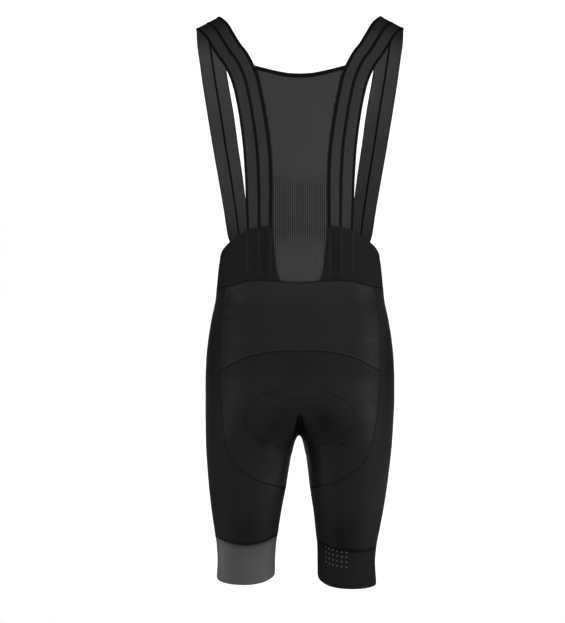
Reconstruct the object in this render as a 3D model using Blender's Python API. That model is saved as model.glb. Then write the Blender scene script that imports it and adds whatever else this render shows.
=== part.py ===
"""Cycling bib shorts in their worn, hollow form, one closed wall for each piece that is cut and sewn.

Metres, +Z up. The wearer's back faces -Y and the wearer's right is +X. The origin lies midway between the
tops of the two shoulder straps. The shorts lie on one skin: two rounded lobes, one for each leg, that run
together above the crotch. A place on the skin is (share, height): share goes round one half of the garment,
from 0 at centre back or the inseam, through 0.5 at the side, to 1 at centre front or the inseam.
"""

import math

import bmesh
import bpy
import numpy as np

# ---------------------------------------------------------------- driving dimensions
CLOTH = 0.0014  # wall of the shorts' panels
MESH_WALL = 0.0012  # wall of the knitted back panel
BINDING_WALL = 0.0024  # the neckline binding is folded double
BINDING_HEIGHT = 0.0070
STRAP_WALL = 0.0014  # wall of a strap between its ribs
RIB = 0.0006  # how far a strap's ribs stand up
SEAM = 0.0003  # gap between two pieces at a seam
SEAM_SPARE = 0.00002  # added on each side, so that a curved seam's gap is never less
SHARPEST = 0.4  # limits how far a corner is drawn in
LAP = 0.0009  # gap between a strap's end and the waist panel over it
PAD_LAP = 0.0012  # gap between the seat pad and the panels over it
PAD_WALL, PAD_EDGE = 0.0065, 0.0022  # the pad at its middle and at its edge

# Horizontal sections of one lobe. outer and inner are the x of its two sides, back and front its depths on
# either side of y = 0, square how boxy it is. inner is -outer where the two lobes are one trunk.
SECTION_COLUMNS = ("height", "outer", "inner", "back", "front", "square")
SECTIONS = (
    (-0.320, 0.1265, -0.1265, 0.0890, 0.1020, 2.60),
    (-0.360, 0.1270, -0.1270, 0.0880, 0.1040, 2.60),
    (-0.383, 0.1301, -0.1301, 0.0885, 0.1050, 2.60),
    (-0.409, 0.1339, -0.1339, 0.0895, 0.1055, 2.60),
    (-0.436, 0.1366, -0.1366, 0.0920, 0.1060, 2.60),
    (-0.462, 0.1392, -0.1392, 0.0960, 0.1070, 2.55),
    (-0.495, 0.1460, -0.1460, 0.1040, 0.1080, 2.50),
    (-0.528, 0.1513, -0.1500, 0.1130, 0.1070, 2.45),
    (-0.561, 0.1545, -0.1330, 0.1210, 0.1050, 2.40),
    (-0.594, 0.1556, -0.0980, 0.1262, 0.1020, 2.35),
    (-0.627, 0.1556, -0.0580, 0.1250, 0.0990, 2.30),
    (-0.650, 0.1551, -0.0320, 0.1205, 0.0965, 2.30),
    (-0.668, 0.1545, -0.0150, 0.1150, 0.0945, 2.25),
    (-0.678, 0.1542, -0.0060, 0.1115, 0.0930, 2.25),
    (-0.685, 0.1539, 0.0020, 0.1090, 0.0920, 2.25),
    (-0.693, 0.1536, 0.0064, 0.1065, 0.0910, 2.20),
    (-0.710, 0.1526, 0.0107, 0.1010, 0.0895, 2.20),
    (-0.743, 0.1497, 0.0159, 0.0915, 0.0860, 2.15),
    (-0.776, 0.1462, 0.0205, 0.0830, 0.0820, 2.15),
    (-0.809, 0.1416, 0.0262, 0.0755, 0.0775, 2.15),
    (-0.842, 0.1361, 0.0306, 0.0690, 0.0725, 2.15),
    (-0.866, 0.1320, 0.0338, 0.0655, 0.0695, 2.15),
    (-0.892, 0.1302, 0.0349, 0.0630, 0.0670, 2.15),
    (-0.930, 0.1322, 0.0352, 0.0640, 0.0675, 2.15),
)
SECTION = dict(zip(SECTION_COLUMNS, np.array(SECTIONS[::-1]).T))
BLEND_OF_SPREAD = 1.6  # how softly the lobes run together once their centres lie apart
BLEND_AT_CROTCH = 0.008
BLEND_OF_OVERLAP = 0.9
POLE_TOP, POLE_DROP, POLE_OUT = -0.46, 0.38, 0.083  # shares fan out from a pole that moves into the leg
LEAN_FROM, LEAN_TO, LEAN = -0.627, -0.892, -0.006  # the legs hang this far to the wearer's left

# Seams on the back, one row for each place they pass: (x, height)
BAND_EDGE = (  # where the waist panel meets the knitted back panel
    (0.0465, -0.344),
    (0.0423, -0.373),
    (0.0402, -0.392),
    (0.0380, -0.412),
    (0.0348, -0.426),
    (0.0300, -0.433),
)
SEAT_TOP = (
    (0.0000, -0.5420),
    (0.0440, -0.5440),
    (0.0630, -0.5475),
    (0.0840, -0.5530),
    (0.1080, -0.5640),
    (0.1290, -0.5760),
)
SIDE_SEAM = (
    (0.1212, -0.441),
    (0.1240, -0.462),
    (0.1278, -0.495),
    (0.1292, -0.527),
    (0.1290, -0.576),
    (0.1268, -0.617),
    (0.1228, -0.650),
    (0.1185, -0.680),
    (0.1130, -0.702),
    (0.1050, -0.718),
    (0.0940, -0.731),
)
SIDE_AT_SEAT_TOP = 4  # the row of SIDE_SEAM where the seat's top seam meets it
UNDER_SEAT = (
    (0.0200, -0.7710),
    (0.0235, -0.7675),
    (0.0400, -0.7610),
    (0.0570, -0.7550),
    (0.0740, -0.7455),
    (0.0940, -0.7310),
)
# Seams round one half of the garment: (share, height)
BAND_TOP = (
    (0.000, -0.3430),
    (0.160, -0.3440),
    (0.205, -0.3455),
    (0.268, -0.3500),
    (0.302, -0.3560),
    (0.350, -0.3655),
    (0.393, -0.3745),
    (0.445, -0.3835),
    (0.520, -0.3900),
    (0.610, -0.3840),
    (0.720, -0.3760),
    (0.820, -0.3860),
    (0.910, -0.4000),
    (1.000, -0.4060),
    (1.090, -0.4000),
)
WAIST_SEAM = (
    (0.000, -0.4350),
    (0.103, -0.4330),
    (0.193, -0.4310),
    (0.255, -0.4315),
    (0.285, -0.4350),
    (0.360, -0.4410),
    (0.500, -0.4460),
    (0.750, -0.4535),
    (1.000, -0.4580),
    (1.250, -0.4535),
)
ROUND_THIGH = ((0.50, -0.746), (0.75, -0.761), (1.00, -0.771))  # from the side seam's lower end
LEG_END = (  # share, then the cuff seam and the hem of the left leg and of the right one
    (0.00, -0.8455, -0.9140, -0.8500, -0.9160),
    (0.10, -0.8477, -0.9165, -0.8562, -0.9212),
    (0.18, -0.8535, -0.9205, -0.8625, -0.9262),
    (0.25, -0.8565, -0.9222, -0.8660, -0.9283),
    (0.32, -0.8534, -0.9218, -0.8667, -0.9288),
    (0.40, -0.8489, -0.9205, -0.8643, -0.9290),
    (0.50, -0.8470, -0.9192, -0.8620, -0.9290),
    (0.75, -0.8490, -0.9200, -0.8570, -0.9250),
    (1.00, -0.8455, -0.9140, -0.8500, -0.9160),
)
LEFT, RIGHT = -1, 1
ROOM = 0.3  # no point of the skin lies farther than this from the middle of its section
HALVINGS = 44  # steps that find a point of the skin
LINE_POINTS = 240  # points of a finely read middle line
PATH_POINTS = 2000  # and of the strap's path
RELAX_ROUNDS = 80
TINY = 1e-9

# How many faces each stretch of seam has; pieces that meet share them
ACROSS_MESH, ACROSS_BACK, ROUND_FRONT = 6, 6, 20
DOWN_BAND, DOWN_BACK, DOWN_SEAT, DOWN_INSEAM, DOWN_LEG, DOWN_CUFF = 6, 6, 8, 5, 7, 4

# The right strap's free stretch, from back waist over the shoulder to front waist:
# x, y and z of its outer edge, then x, y and z of its inner edge
STRAP_FREE = (
    (0.0866, -0.0785, -0.3200, 0.0440, -0.0880, -0.3200),
    (0.0877, -0.0885, -0.2720, 0.0434, -0.0970, -0.2720),
    (0.0906, -0.0990, -0.2217, 0.0457, -0.1060, -0.2217),
    (0.0962, -0.1070, -0.1749, 0.0529, -0.1120, -0.1693),
    (0.1026, -0.1105, -0.1396, 0.0604, -0.1135, -0.1296),
    (0.1093, -0.1100, -0.1154, 0.0672, -0.1130, -0.1029),
    (0.1192, -0.1040, -0.0933, 0.0815, -0.1060, -0.0727),
    (0.1301, -0.0945, -0.0773, 0.0950, -0.0975, -0.0537),
    (0.1412, -0.0800, -0.0589, 0.1053, -0.0840, -0.0353),
    (0.1527, -0.0600, -0.0385, 0.1170, -0.0600, -0.0140),
    (0.1695, -0.0210, -0.0178, 0.1310, -0.0200, 0.0030),
    (0.1722, 0.0150, -0.0168, 0.1335, 0.0150, 0.0037),
    (0.1735, 0.0480, -0.0310, 0.1335, 0.0500, -0.0130),
    (0.1707, 0.0700, -0.0575, 0.1285, 0.0730, -0.0465),
    (0.1662, 0.0830, -0.0940, 0.1228, 0.0900, -0.0870),
    (0.1580, 0.0900, -0.1480, 0.1138, 0.1000, -0.1410),
    (0.1488, 0.0860, -0.2030, 0.1064, 0.1020, -0.1960),
    (0.1388, 0.0740, -0.2570, 0.0982, 0.0965, -0.2510),
    (0.1290, 0.0600, -0.3110, 0.0913, 0.0890, -0.3070),
    (0.1222, 0.0520, -0.3520, 0.0873, 0.0830, -0.3500),
)
# Its two ends lie under the waist panel: height, then the x of the outer and the inner edge
STRAP_BACK_END = (
    (-0.424, 0.0860, 0.0452),
    (-0.405, 0.0865, 0.0452),
    (-0.386, 0.0868, 0.0452),
    (-0.368, 0.0869, 0.0452),
    (-0.350, 0.0868, 0.0450),
)
STRAP_FRONT_END = (
    (-0.374, 0.1178, 0.0850),
    (-0.395, 0.1155, 0.0836),
    (-0.417, 0.1142, 0.0825),
    (-0.438, 0.1132, 0.0815),
)
STRAP_PROFILE = (  # share of the width from the outer edge, and whether a rib stands there
    (0.000, True),
    (0.090, True),
    (0.108, False),
    (0.437, False),
    (0.455, True),
    (0.545, True),
    (0.563, False),
    (0.867, False),
    (0.885, True),
    (1.000, True),
)
STRAP_STEP = 0.018  # length of a face along a strap
NECK_SIDE = -0.0915  # height at which the binding's top edge meets the strap
NECKLINE = (  # share of its half width, and how far the top edge sags there
    (-0.20, 0.0142),
    (0.00, 0.0152),
    (0.20, 0.0142),
    (0.43, 0.0110),
    (0.70, 0.0060),
    (0.88, 0.0024),
    (1.00, 0.0000),
)
MESH_BOW = 0.003  # the back panel's middle stands this far behind its edges

# The seat pad along its own middle line, from back to front: distance, half width, and how far it lifts
# off the panels over the crotch
PAD = (
    (0.000, 0.034, 0.0010),
    (0.012, 0.066, 0.0015),
    (0.030, 0.081, 0.0025),
    (0.046, 0.085, 0.0035),
    (0.062, 0.078, 0.0045),
    (0.080, 0.058, 0.0045),
    (0.098, 0.046, 0.0045),
    (0.145, 0.043, 0.0040),
    (0.190, 0.045, 0.0035),
    (0.235, 0.043, 0.0035),
    (0.262, 0.034, 0.0030),
    (0.275, 0.018, 0.0030),
)
PAD_FROM = -0.607  # height of its back end
PAD_ROWS = 16
PAD_COLUMNS = (0.08, 0.17, 0.29, 0.50, 0.75, 1.00)  # where its columns lie, as shares of the half width
PAD_STRIDES = 6  # steps on the skin from one column to the next
PAD_SETTLE = 0.6  # how much of its lift the pad has lost at its side edges

# sRGB colour, roughness
FINISHES = {
    "matt knit": ("1A1A1C", 0.75),
    "glossy knit": ("1F1F22", 0.50),
    "leg knit": ("18181A", 0.70),
    "grey knit": ("4A4A4C", 0.85),
    "black grip knit": ("1B1B1D", 0.70),
    "ribbed elastic": ("333335", 0.80),
    "open knit": ("3A3A3E", 0.85),
    "binding": ("161617", 0.65),
    "foam": ("2A2A2C", 0.90),
}


# ---------------------------------------------------------------- curves
def between(keys, values, slope, at):
    """The cubic with these slopes at a table's points, read at `at`; values may be vectors."""
    i = np.clip(np.searchsorted(keys, at, side="right") - 1, 0, len(keys) - 2)
    h = np.diff(keys)[i]
    t = np.clip((at - keys[i]) / h, 0, 1)
    if values.ndim > 1:
        h, t = h[:, None], t[:, None]
    start = (1 + 2 * t) * (1 - t) ** 2 * values[i] + t * (1 - t) ** 2 * h * slope[i]
    return start + t * t * (3 - 2 * t) * values[i + 1] + t * t * (t - 1) * h * slope[i + 1]


def through(keys, values, at):
    """A smooth curve through a table's points that never swings past them."""
    keys, values, at = (np.asarray(a, float) for a in (keys, values, at))
    rise = np.diff(values) / np.diff(keys)
    slope = np.concatenate([rise[:1], np.zeros(len(keys) - 2), rise[-1:]])
    pair = rise[:-1] * rise[1:]
    same = pair > 0
    slope[1:-1][same] = 2 * pair[same] / (rise[:-1] + rise[1:])[same]
    return between(keys, values, slope, at)


def flowing(points, at):
    """A path that flows through the points, read at `at`, which counts the points from 0."""
    keys = np.arange(len(points), dtype=float)
    return between(keys, points, np.gradient(points, axis=0), np.asarray(at, float))


def column(table, index):
    return np.array([row[index] for row in table], float)


def walked(line):
    """How far along a line each of its points lies."""
    return np.concatenate([[0], np.cumsum(np.linalg.norm(np.diff(line, axis=0), axis=1))])


def trace(table, count, first=0, last=None):
    """count + 1 places, evenly apart, along a seam's table from row `first` to row `last`."""
    seam = np.array(table, float)
    way = walked(seam)
    at = np.linspace(way[first], way[-1 if last is None else last], count + 1)
    return np.stack([through(way, seam[:, 0], at), through(way, seam[:, 1], at)], axis=1)


# ---------------------------------------------------------------- the skin
def section(z):
    """The lobe's centre, half width, depths, squareness and blend at these heights."""
    outer, inner, back, front, square = (
        through(SECTION["height"], SECTION[name], z) for name in SECTION_COLUMNS[1:]
    )
    centre, half = (outer + inner) / 2, (outer - inner) / 2
    spread = BLEND_OF_SPREAD * centre**2 / half + TINY
    overlap = BLEND_AT_CROTCH + BLEND_OF_OVERLAP * np.maximum(-inner, 0)
    return centre, half, back, front, square, spread * overlap / np.hypot(spread, overlap)


def field(x, y, cut):
    """Roughly how far (x, y) lies outside the skin on the section `cut`; below 0 inside."""
    centre, half, back, front, square, blend = cut
    deep = np.where(y < 0, back, front)
    lobes = []
    for side in (LEFT, RIGHT):
        size = np.abs((x - side * centre) / half) ** square + np.abs(y / deep) ** square
        lobes.append((size ** (1 / square) - 1) * np.minimum(half, deep))
    near = np.maximum(blend - np.abs(lobes[0] - lobes[1]), 0) / blend
    return np.minimum(*lobes) - near**2 * blend / 4


def root(low, high, value):
    """Where `value` turns from below 0 to above it on the way from low to high."""
    for _ in range(HALVINGS):
        middle = (low + high) / 2
        inside = value(middle) < 0
        low, high = np.where(inside, middle, low), np.where(inside, high, middle)
    return (low + high) / 2


CROTCH = float(root(-0.66, -0.72, lambda z: field(0.0, 0.0, section(z))))


def slope(p, h=0.0004):
    """The gradient of the field at these points."""
    grad = np.zeros_like(p)
    for axis in range(3):
        step = h * np.eye(3)[axis]
        ahead, behind = p + step, p - step
        rise = field(ahead[..., 0], ahead[..., 1], section(ahead[..., 2]))
        rise = rise - field(behind[..., 0], behind[..., 1], section(behind[..., 2]))
        grad[..., axis] = rise / (2 * h)
    return grad


def outward(p):
    grad = slope(p)
    return grad / np.linalg.norm(grad, axis=-1, keepdims=True)


def smooth(at):
    """A soft step from 0 to 1."""
    at = np.clip(at, 0, 1)
    return at * at * (3 - 2 * at)


def pole(z):
    """The x from which the shares fan out at this height."""
    return POLE_OUT * smooth((POLE_TOP - z) / POLE_DROP)


def skin(share, z):
    """The points of the right half's skin at these places."""
    share, z = np.broadcast_arrays(np.asarray(share, float), np.asarray(z, float))
    front = np.where(share > 0.5, 1.0, -1.0)
    turn = np.abs(2 * share - 1)
    cut, centre, none = section(z), pole(z), 0 * z
    joined = field(none, none, cut) < 0
    edge = np.where(joined, root(none, none + ROOM, lambda y: field(none, front * y, cut)), 0.0)
    angle = front * turn * (math.pi - np.arctan2(edge, centre))
    inward = -np.cos(angle)
    far = np.where(inward > TINY, np.minimum(centre / np.maximum(inward, TINY), ROOM), ROOM)
    r = root(none, far, lambda r: field(centre - r * inward, r * np.sin(angle), cut))
    at_middle = joined & (turn > 1 - TINY)
    x = np.where(at_middle, 0.0, centre - r * inward)
    y = np.where(at_middle, front * edge, r * np.sin(angle))
    return np.stack([x, y, z], axis=-1)


def behind(seam):
    """The places of a seam given by its x and height as seen from behind."""
    x, z = seam[:, 0], seam[:, 1]
    share = root(0 * x, 0 * x + 0.5, lambda share: skin(share, z)[:, 0] - x)
    share[np.abs(x) < TINY] = 0.0
    return np.stack([share, z], axis=1)


def depth(x, z, sign):
    """The y of the skin at (x, z), behind for sign -1 and in front for sign 1."""
    x, z = np.asarray(x, float), np.asarray(z, float)
    cut = section(z)
    return sign * root(0 * x, 0 * x + ROOM, lambda y: field(x, sign * y, cut))


def on_skin(places):
    return skin(places[..., 0], places[..., 1])


def settled(p, deep=0.0, rounds=4):
    """The points moved along the field to `deep` inside the skin."""
    for _ in range(rounds):
        grad = slope(p)
        steep = np.linalg.norm(grad, axis=-1)
        off = field(p[..., 0], p[..., 1], section(p[..., 2])) / steep + deep
        p = p - grad * (off / steep)[..., None]
    return p


def along(line, at):
    """Points of a line at these distances from its start."""
    return np.stack([np.interp(at, walked(line), line[:, axis]) for axis in range(3)], axis=1)


def middle_line(front, top):
    """The skin's middle line from a height down to the crotch, behind for front -1 and in front for 1."""
    z = CROTCH + (top - CROTCH) * np.linspace(1, 0, LINE_POINTS) ** 3
    y = depth(0 * z, z, front)
    y[-1] = 0.0
    return np.stack([0 * z, y, z], axis=1)


def patch(top, bottom, left, right):
    """A net between four seams; top and bottom run left to right, the sides run down."""
    a = np.linspace(0, 1, len(top))[None, :, None]
    b = np.linspace(0, 1, len(left))[:, None, None]
    rows = (1 - b) * top[None] + b * bottom[None]
    columns = (1 - a) * left[:, None] + a * right[:, None]
    ends = (1 - b) * ((1 - a) * top[0] + a * top[-1]) + b * ((1 - a) * bottom[0] + a * bottom[-1])
    return rows + columns - ends


def relaxed(net):
    """The net with its inner points spread evenly over the skin."""
    net = net.copy()
    for number in range(RELAX_ROUNDS):
        evened = (net[:-2, 1:-1] + net[2:, 1:-1] + net[1:-1, :-2] + net[1:-1, 2:]) / 4
        net[1:-1, 1:-1] = settled(evened, rounds=4 if number == RELAX_ROUNDS - 1 else 1)
    return net


def mirrored(net):
    """The same net on the other side of x = 0, its columns in the opposite order."""
    return net[:, ::-1] * (-1, 1, 1)


# ---------------------------------------------------------------- solids
def welded(nets):
    """The points and four-sided faces of some nets, joined where their points coincide."""
    points, faces, seen = [], [], {}
    for net in nets:
        index = np.zeros(net.shape[:2], int)
        for row, col in np.ndindex(*net.shape[:2]):
            key = tuple(np.round(net[row, col] / 1e-6).astype(int))
            if key not in seen:
                seen[key] = len(points)
                points.append(net[row, col])
            index[row, col] = seen[key]
        for row, col in np.ndindex(net.shape[0] - 1, net.shape[1] - 1):
            corners = (
                index[row, col],
                index[row, col + 1],
                index[row + 1, col + 1],
                index[row + 1, col],
            )
            faces.append(corners)
    return np.array(points), faces


def rim(faces):
    """The open edges of a net, each with the face that it belongs to."""
    used = {}
    for number, face in enumerate(faces):
        for a, b in zip(face, face[1:] + face[:1]):
            used.setdefault(frozenset((a, b)), []).append((a, b, number))
    return [owners[0] for owners in used.values() if len(owners) == 1]


def drawn_in(points, faces, gap):
    """The net with its open edges moved in along its own surface by `gap`."""
    inward = [[] for _ in points]
    for a, b, number in rim(faces):
        along = points[b] - points[a]
        along = along / np.linalg.norm(along)
        into = points[list(faces[number])].mean(axis=0) - (points[a] + points[b]) / 2
        into = into - along * (into @ along)
        into = into / np.linalg.norm(into)
        inward[a].append(into)
        inward[b].append(into)
    moved = points.copy()
    for number, ways in enumerate(inward):
        if len(ways) == 2:
            moved[number] += gap * (ways[0] + ways[1]) / max(1 + ways[0] @ ways[1], SHARPEST)
    return moved


def placed(points, side=RIGHT):
    """Points of the right half moved to their side, with the lean of the legs."""
    hang = np.clip((LEAN_FROM - points[:, 2]) / (LEAN_FROM - LEAN_TO), 0, 1)
    out = points * (side, 1, 1)
    out[:, 0] += LEAN * hang
    return out


def material(finish):
    """A plain Principled material of this finish, made once."""
    found = bpy.data.materials.get(finish)
    if found:
        return found
    colour, rough = FINISHES[finish]
    new = bpy.data.materials.new(finish)
    new.use_nodes = True
    shader = new.node_tree.nodes["Principled BSDF"]
    levels = [int(colour[i : i + 2], 16) / 255 for i in (0, 2, 4)]
    linear = [((c + 0.055) / 1.055) ** 2.4 if c > 0.04045 else c / 12.92 for c in levels]
    shader.inputs["Base Color"].default_value = (*linear, 1)
    shader.inputs["Roughness"].default_value = rough
    new.diffuse_color = (*linear, 1)
    return new


def piece(name, points, faces, finish):
    """One named object from points and faces, with its faces turned out and its round parts smooth."""
    mesh = bpy.data.meshes.new(name)
    mesh.from_pydata([tuple(p) for p in points], [], [tuple(int(i) for i in f) for f in faces])
    shape = bmesh.new()
    shape.from_mesh(mesh)
    bmesh.ops.recalc_face_normals(shape, faces=shape.faces)
    shape.to_mesh(mesh)
    shape.free()
    mesh.shade_smooth()
    mesh.set_sharp_from_angle(angle=math.radians(40))
    mesh.materials.append(material(finish))
    made = bpy.data.objects.new(name, mesh)
    bpy.context.collection.objects.link(made)
    return made


def wall(name, outside, inside, faces, finish):
    """A closed wall between two sides that share their faces."""
    count = len(outside)
    back = [tuple(i + count for i in face[::-1]) for face in faces]
    edge = [(b, a, a + count, b + count) for a, b, _ in rim(faces)]
    return piece(name, np.concatenate([outside, inside]), faces + back + edge, finish)


def panel(name, nets, finish, side=RIGHT, deep=0.0, thick=CLOTH):
    """A sewn panel: nets on the skin, or `deep` inside it, drawn in at the seams, with a wall inwards."""
    points, faces = welded(nets)
    points = drawn_in(points, faces, SEAM / 2 + SEAM_SPARE)
    way = outward(points)
    outside, inside = points - way * deep, points - way * (deep + thick)
    return wall(name, placed(outside, side), placed(inside, side), faces, finish)


# ---------------------------------------------------------------- seams that pieces share
BACK_HALF = ACROSS_MESH + ACROSS_BACK


def waist_seam():
    """The waist seam from centre back to centre front, in three stretches joined up."""
    corner, side = behind(np.array([BAND_EDGE[-1], SIDE_SEAM[0]]))[:, 0]
    share = np.concatenate(
        [
            np.linspace(0, corner, ACROSS_MESH + 1),
            np.linspace(corner, side, ACROSS_BACK + 1)[1:],
            np.linspace(side, 1, ROUND_FRONT + 1)[1:],
        ]
    )
    return np.stack([share, through(column(WAIST_SEAM, 0), column(WAIST_SEAM, 1), share)], axis=1)


def side_seam():
    """The side seam from the waist past the seat's top seam to its lower end."""
    seam = np.concatenate(
        [
            trace(SIDE_SEAM, DOWN_BACK, 0, SIDE_AT_SEAT_TOP),
            trace(SIDE_SEAM, DOWN_SEAT + DOWN_INSEAM, SIDE_AT_SEAT_TOP)[1:],
        ]
    )
    places = behind(seam)
    places[0] = waist_seam()[BACK_HALF]
    return places


def middle(front, top, rows_above):
    """Centre back or front from a seam down to the crotch, then the inseam to the leg seam."""
    line = middle_line(front, top)
    above = along(line, np.linspace(0, walked(line)[-1], rows_above + 1))
    below = skin(0.0, np.linspace(CROTCH, UNDER_SEAT[0][1], DOWN_INSEAM + 1)[1:])
    return np.concatenate([above, below])


def under_seat():
    """The seat's lower seam, from the inseam to the side seam's lower end."""
    places = behind(trace(UNDER_SEAT, BACK_HALF))
    places[0] = (0, UNDER_SEAT[0][1])
    return places


def round_thigh():
    """From the side seam's lower end round the front of the thigh to the inseam."""
    start = under_seat()[-1]
    share = np.linspace(start[0], 1, ROUND_FRONT + 1)
    places = np.concatenate([[start], np.array(ROUND_THIGH)])
    return np.stack([share, through(places[:, 0], places[:, 1], share)], axis=1)


def leg_end(side, hem):
    """The cuff seam, or the hem, of one leg."""
    turn = 0.30  # share at which the back's faces give way to the front's
    share = np.concatenate(
        [np.linspace(0, turn, BACK_HALF + 1), np.linspace(turn, 1, ROUND_FRONT + 1)[1:]]
    )
    which = (1 if side == LEFT else 3) + hem
    return np.stack([share, through(column(LEG_END, 0), column(LEG_END, which), share)], axis=1)


# ---------------------------------------------------------------- the shorts
def upper_back():
    top, bottom = waist_seam()[: BACK_HALF + 1], behind(trace(SEAT_TOP, BACK_HALF))
    centre = np.linspace(top[0], bottom[0], DOWN_BACK + 1)
    half = on_skin(patch(top, bottom, centre, side_seam()[: DOWN_BACK + 1]))
    return panel("upper_back", [half, mirrored(half)], "glossy knit")


def seat(side):
    name = "seat_right" if side == RIGHT else "seat_left"
    top, bottom = on_skin(behind(trace(SEAT_TOP, BACK_HALF))), on_skin(under_seat())
    centre = middle(-1, SEAT_TOP[0][1], DOWN_SEAT)
    net = relaxed(patch(top, bottom, centre, on_skin(side_seam()[DOWN_BACK:])))
    return panel(name, [net], "glossy knit", side)


def leg(side):
    """The side and front panel, which closes into a tube below the seat."""
    name = "leg_right" if side == RIGHT else "leg_left"
    waist, thigh = waist_seam()[BACK_HALF:], round_thigh()
    centre = middle(1, waist[-1][1], DOWN_BACK + DOWN_SEAT)
    front = relaxed(patch(on_skin(waist), on_skin(thigh), on_skin(side_seam()), centre))
    top, bottom = np.concatenate([under_seat(), thigh[1:]]), leg_end(side, hem=False)
    inner = np.linspace(top[0], bottom[0], DOWN_LEG + 1)
    tube = on_skin(patch(top, bottom, inner, inner + (1, 0)))
    return panel(name, [front, tube], "leg knit", side)


def cuff(side):
    name, finish = ("cuff_right", "black grip knit") if side == RIGHT else ("cuff_left", "grey knit")
    top, bottom = leg_end(side, hem=False), leg_end(side, hem=True)
    inner = np.linspace(top[0], bottom[0], DOWN_CUFF + 1)
    return panel(name, [on_skin(patch(top, bottom, inner, inner + (1, 0)))], finish, side)


def band_edge():
    places = behind(trace(BAND_EDGE, DOWN_BAND))
    places[-1] = waist_seam()[ACROSS_MESH]
    return places


def waist_panel():
    """One panel from an edge of the back panel round the front to the other edge."""
    bottom, edge = waist_seam()[ACROSS_MESH:], band_edge()
    share = 1 - (1 - bottom[:, 0]) * (1 - edge[0, 0]) / (1 - bottom[0, 0])
    top = np.stack([share, through(column(BAND_TOP, 0), column(BAND_TOP, 1), share)], axis=1)
    edge[0] = top[0]
    half = on_skin(patch(top, bottom, edge, np.linspace(top[-1], bottom[-1], DOWN_BAND + 1)))
    return panel("waist_panel", [half, mirrored(half)], "matt knit")


# ---------------------------------------------------------------- straps, back panel and binding
def strap_stations():
    """Both edges of the right strap at every station, from its back end to its front end."""
    sunk = CLOTH + LAP + RIB
    ends = []
    for table, sign in ((STRAP_BACK_END, -1), (STRAP_FRONT_END, 1)):
        z = column(table, 0)
        edges = []
        for index in (1, 2):
            x = column(table, index)
            on = np.stack([x, depth(x, z, sign), z], axis=1)
            edges.append(on - outward(on) * sunk)
        ends.append(np.concatenate(edges, axis=1))
    return np.concatenate([ends[0], np.array(STRAP_FREE), ends[1]])


def strap_rows():
    """The strap's cross rows, and the first and last of the rows that the binding's ends lie at."""
    stations = strap_stations()
    back, front = len(STRAP_BACK_END) - 1, len(stations) - len(STRAP_FRONT_END)
    fine = np.linspace(back, front, PATH_POINTS)
    inner_z = flowing(stations, fine)[:, 5]
    rising = fine[: int(inner_z.argmax())]
    neck_top = np.interp(NECK_SIDE, inner_z[: len(rising)], rising)
    neck_low = np.interp(NECK_SIDE - BINDING_HEIGHT, inner_z[: len(rising)], rising)
    way = walked(flowing(stations, fine).reshape(-1, 2, 3).mean(axis=1))
    keys = [np.arange(back + 1.0)]
    for a, b in ((back, neck_low), (neck_low, neck_top), (neck_top, front)):
        from_way, to_way = np.interp((a, b), fine, way)
        count = max(1, round((to_way - from_way) / STRAP_STEP))
        keys.append(np.interp(np.linspace(from_way, to_way, count + 1)[1:], way, fine))
    keys.append(np.arange(front + 1.0, len(stations)))
    low = len(keys[0]) + len(keys[1]) - 1
    return flowing(stations, np.concatenate(keys)), low, low + len(keys[2])


def strap(side):
    rows, _, _ = strap_rows()
    outer, inner = rows[:, :3], rows[:, 3:]
    across = inner - outer
    up = np.cross(np.gradient((outer + inner) / 2, axis=0), across)
    up = up / np.linalg.norm(up, axis=1, keepdims=True)
    ring = [outer + across * share + up * RIB * raised for share, raised in STRAP_PROFILE]
    ring += [inner - up * STRAP_WALL, outer - up * STRAP_WALL]
    net = np.stack(ring, axis=1)
    count, sides = net.shape[:2]
    faces = []
    for row in range(count - 1):
        for a in range(sides):
            b = (a + 1) % sides
            faces.append((row * sides + a, row * sides + b, (row + 1) * sides + b, (row + 1) * sides + a))
    faces.append(tuple(range(sides)))
    faces.append(tuple((count - 1) * sides + a for a in reversed(range(sides))))
    name = "strap_right" if side == RIGHT else "strap_left"
    return piece(name, net.reshape(-1, 3) * (side, 1, 1), faces, "ribbed elastic")


def back_net(side_points, drops):
    """A net between the right strap's edge and its mirror image, each row sagging by its drop."""
    share = np.linspace(1, -1, 2 * ACROSS_MESH + 1)
    dip = through(column(NECKLINE, 0), column(NECKLINE, 1), np.abs(share))
    net = np.zeros((len(side_points), len(share), 3))
    for row, (edge, drop) in enumerate(zip(side_points, drops)):
        net[row, :, 0] = edge[0] * share
        net[row, :, 1] = edge[1] - MESH_BOW * (1 - share**2)
        net[row, :, 2] = edge[2] - dip * drop
    return net


def net_normals(net):
    """The outward direction of a net whose rows go down and columns go towards -x."""
    way = np.cross(np.gradient(net, axis=0), np.gradient(net, axis=1))
    return way / np.linalg.norm(way, axis=-1, keepdims=True)


def off_strap(rows):
    """The strap's inner edge, moved off it by the seam's gap."""
    across = rows[:, 3:] - rows[:, :3]
    return rows[:, 3:] + across / np.linalg.norm(across, axis=1, keepdims=True) * SEAM


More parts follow.
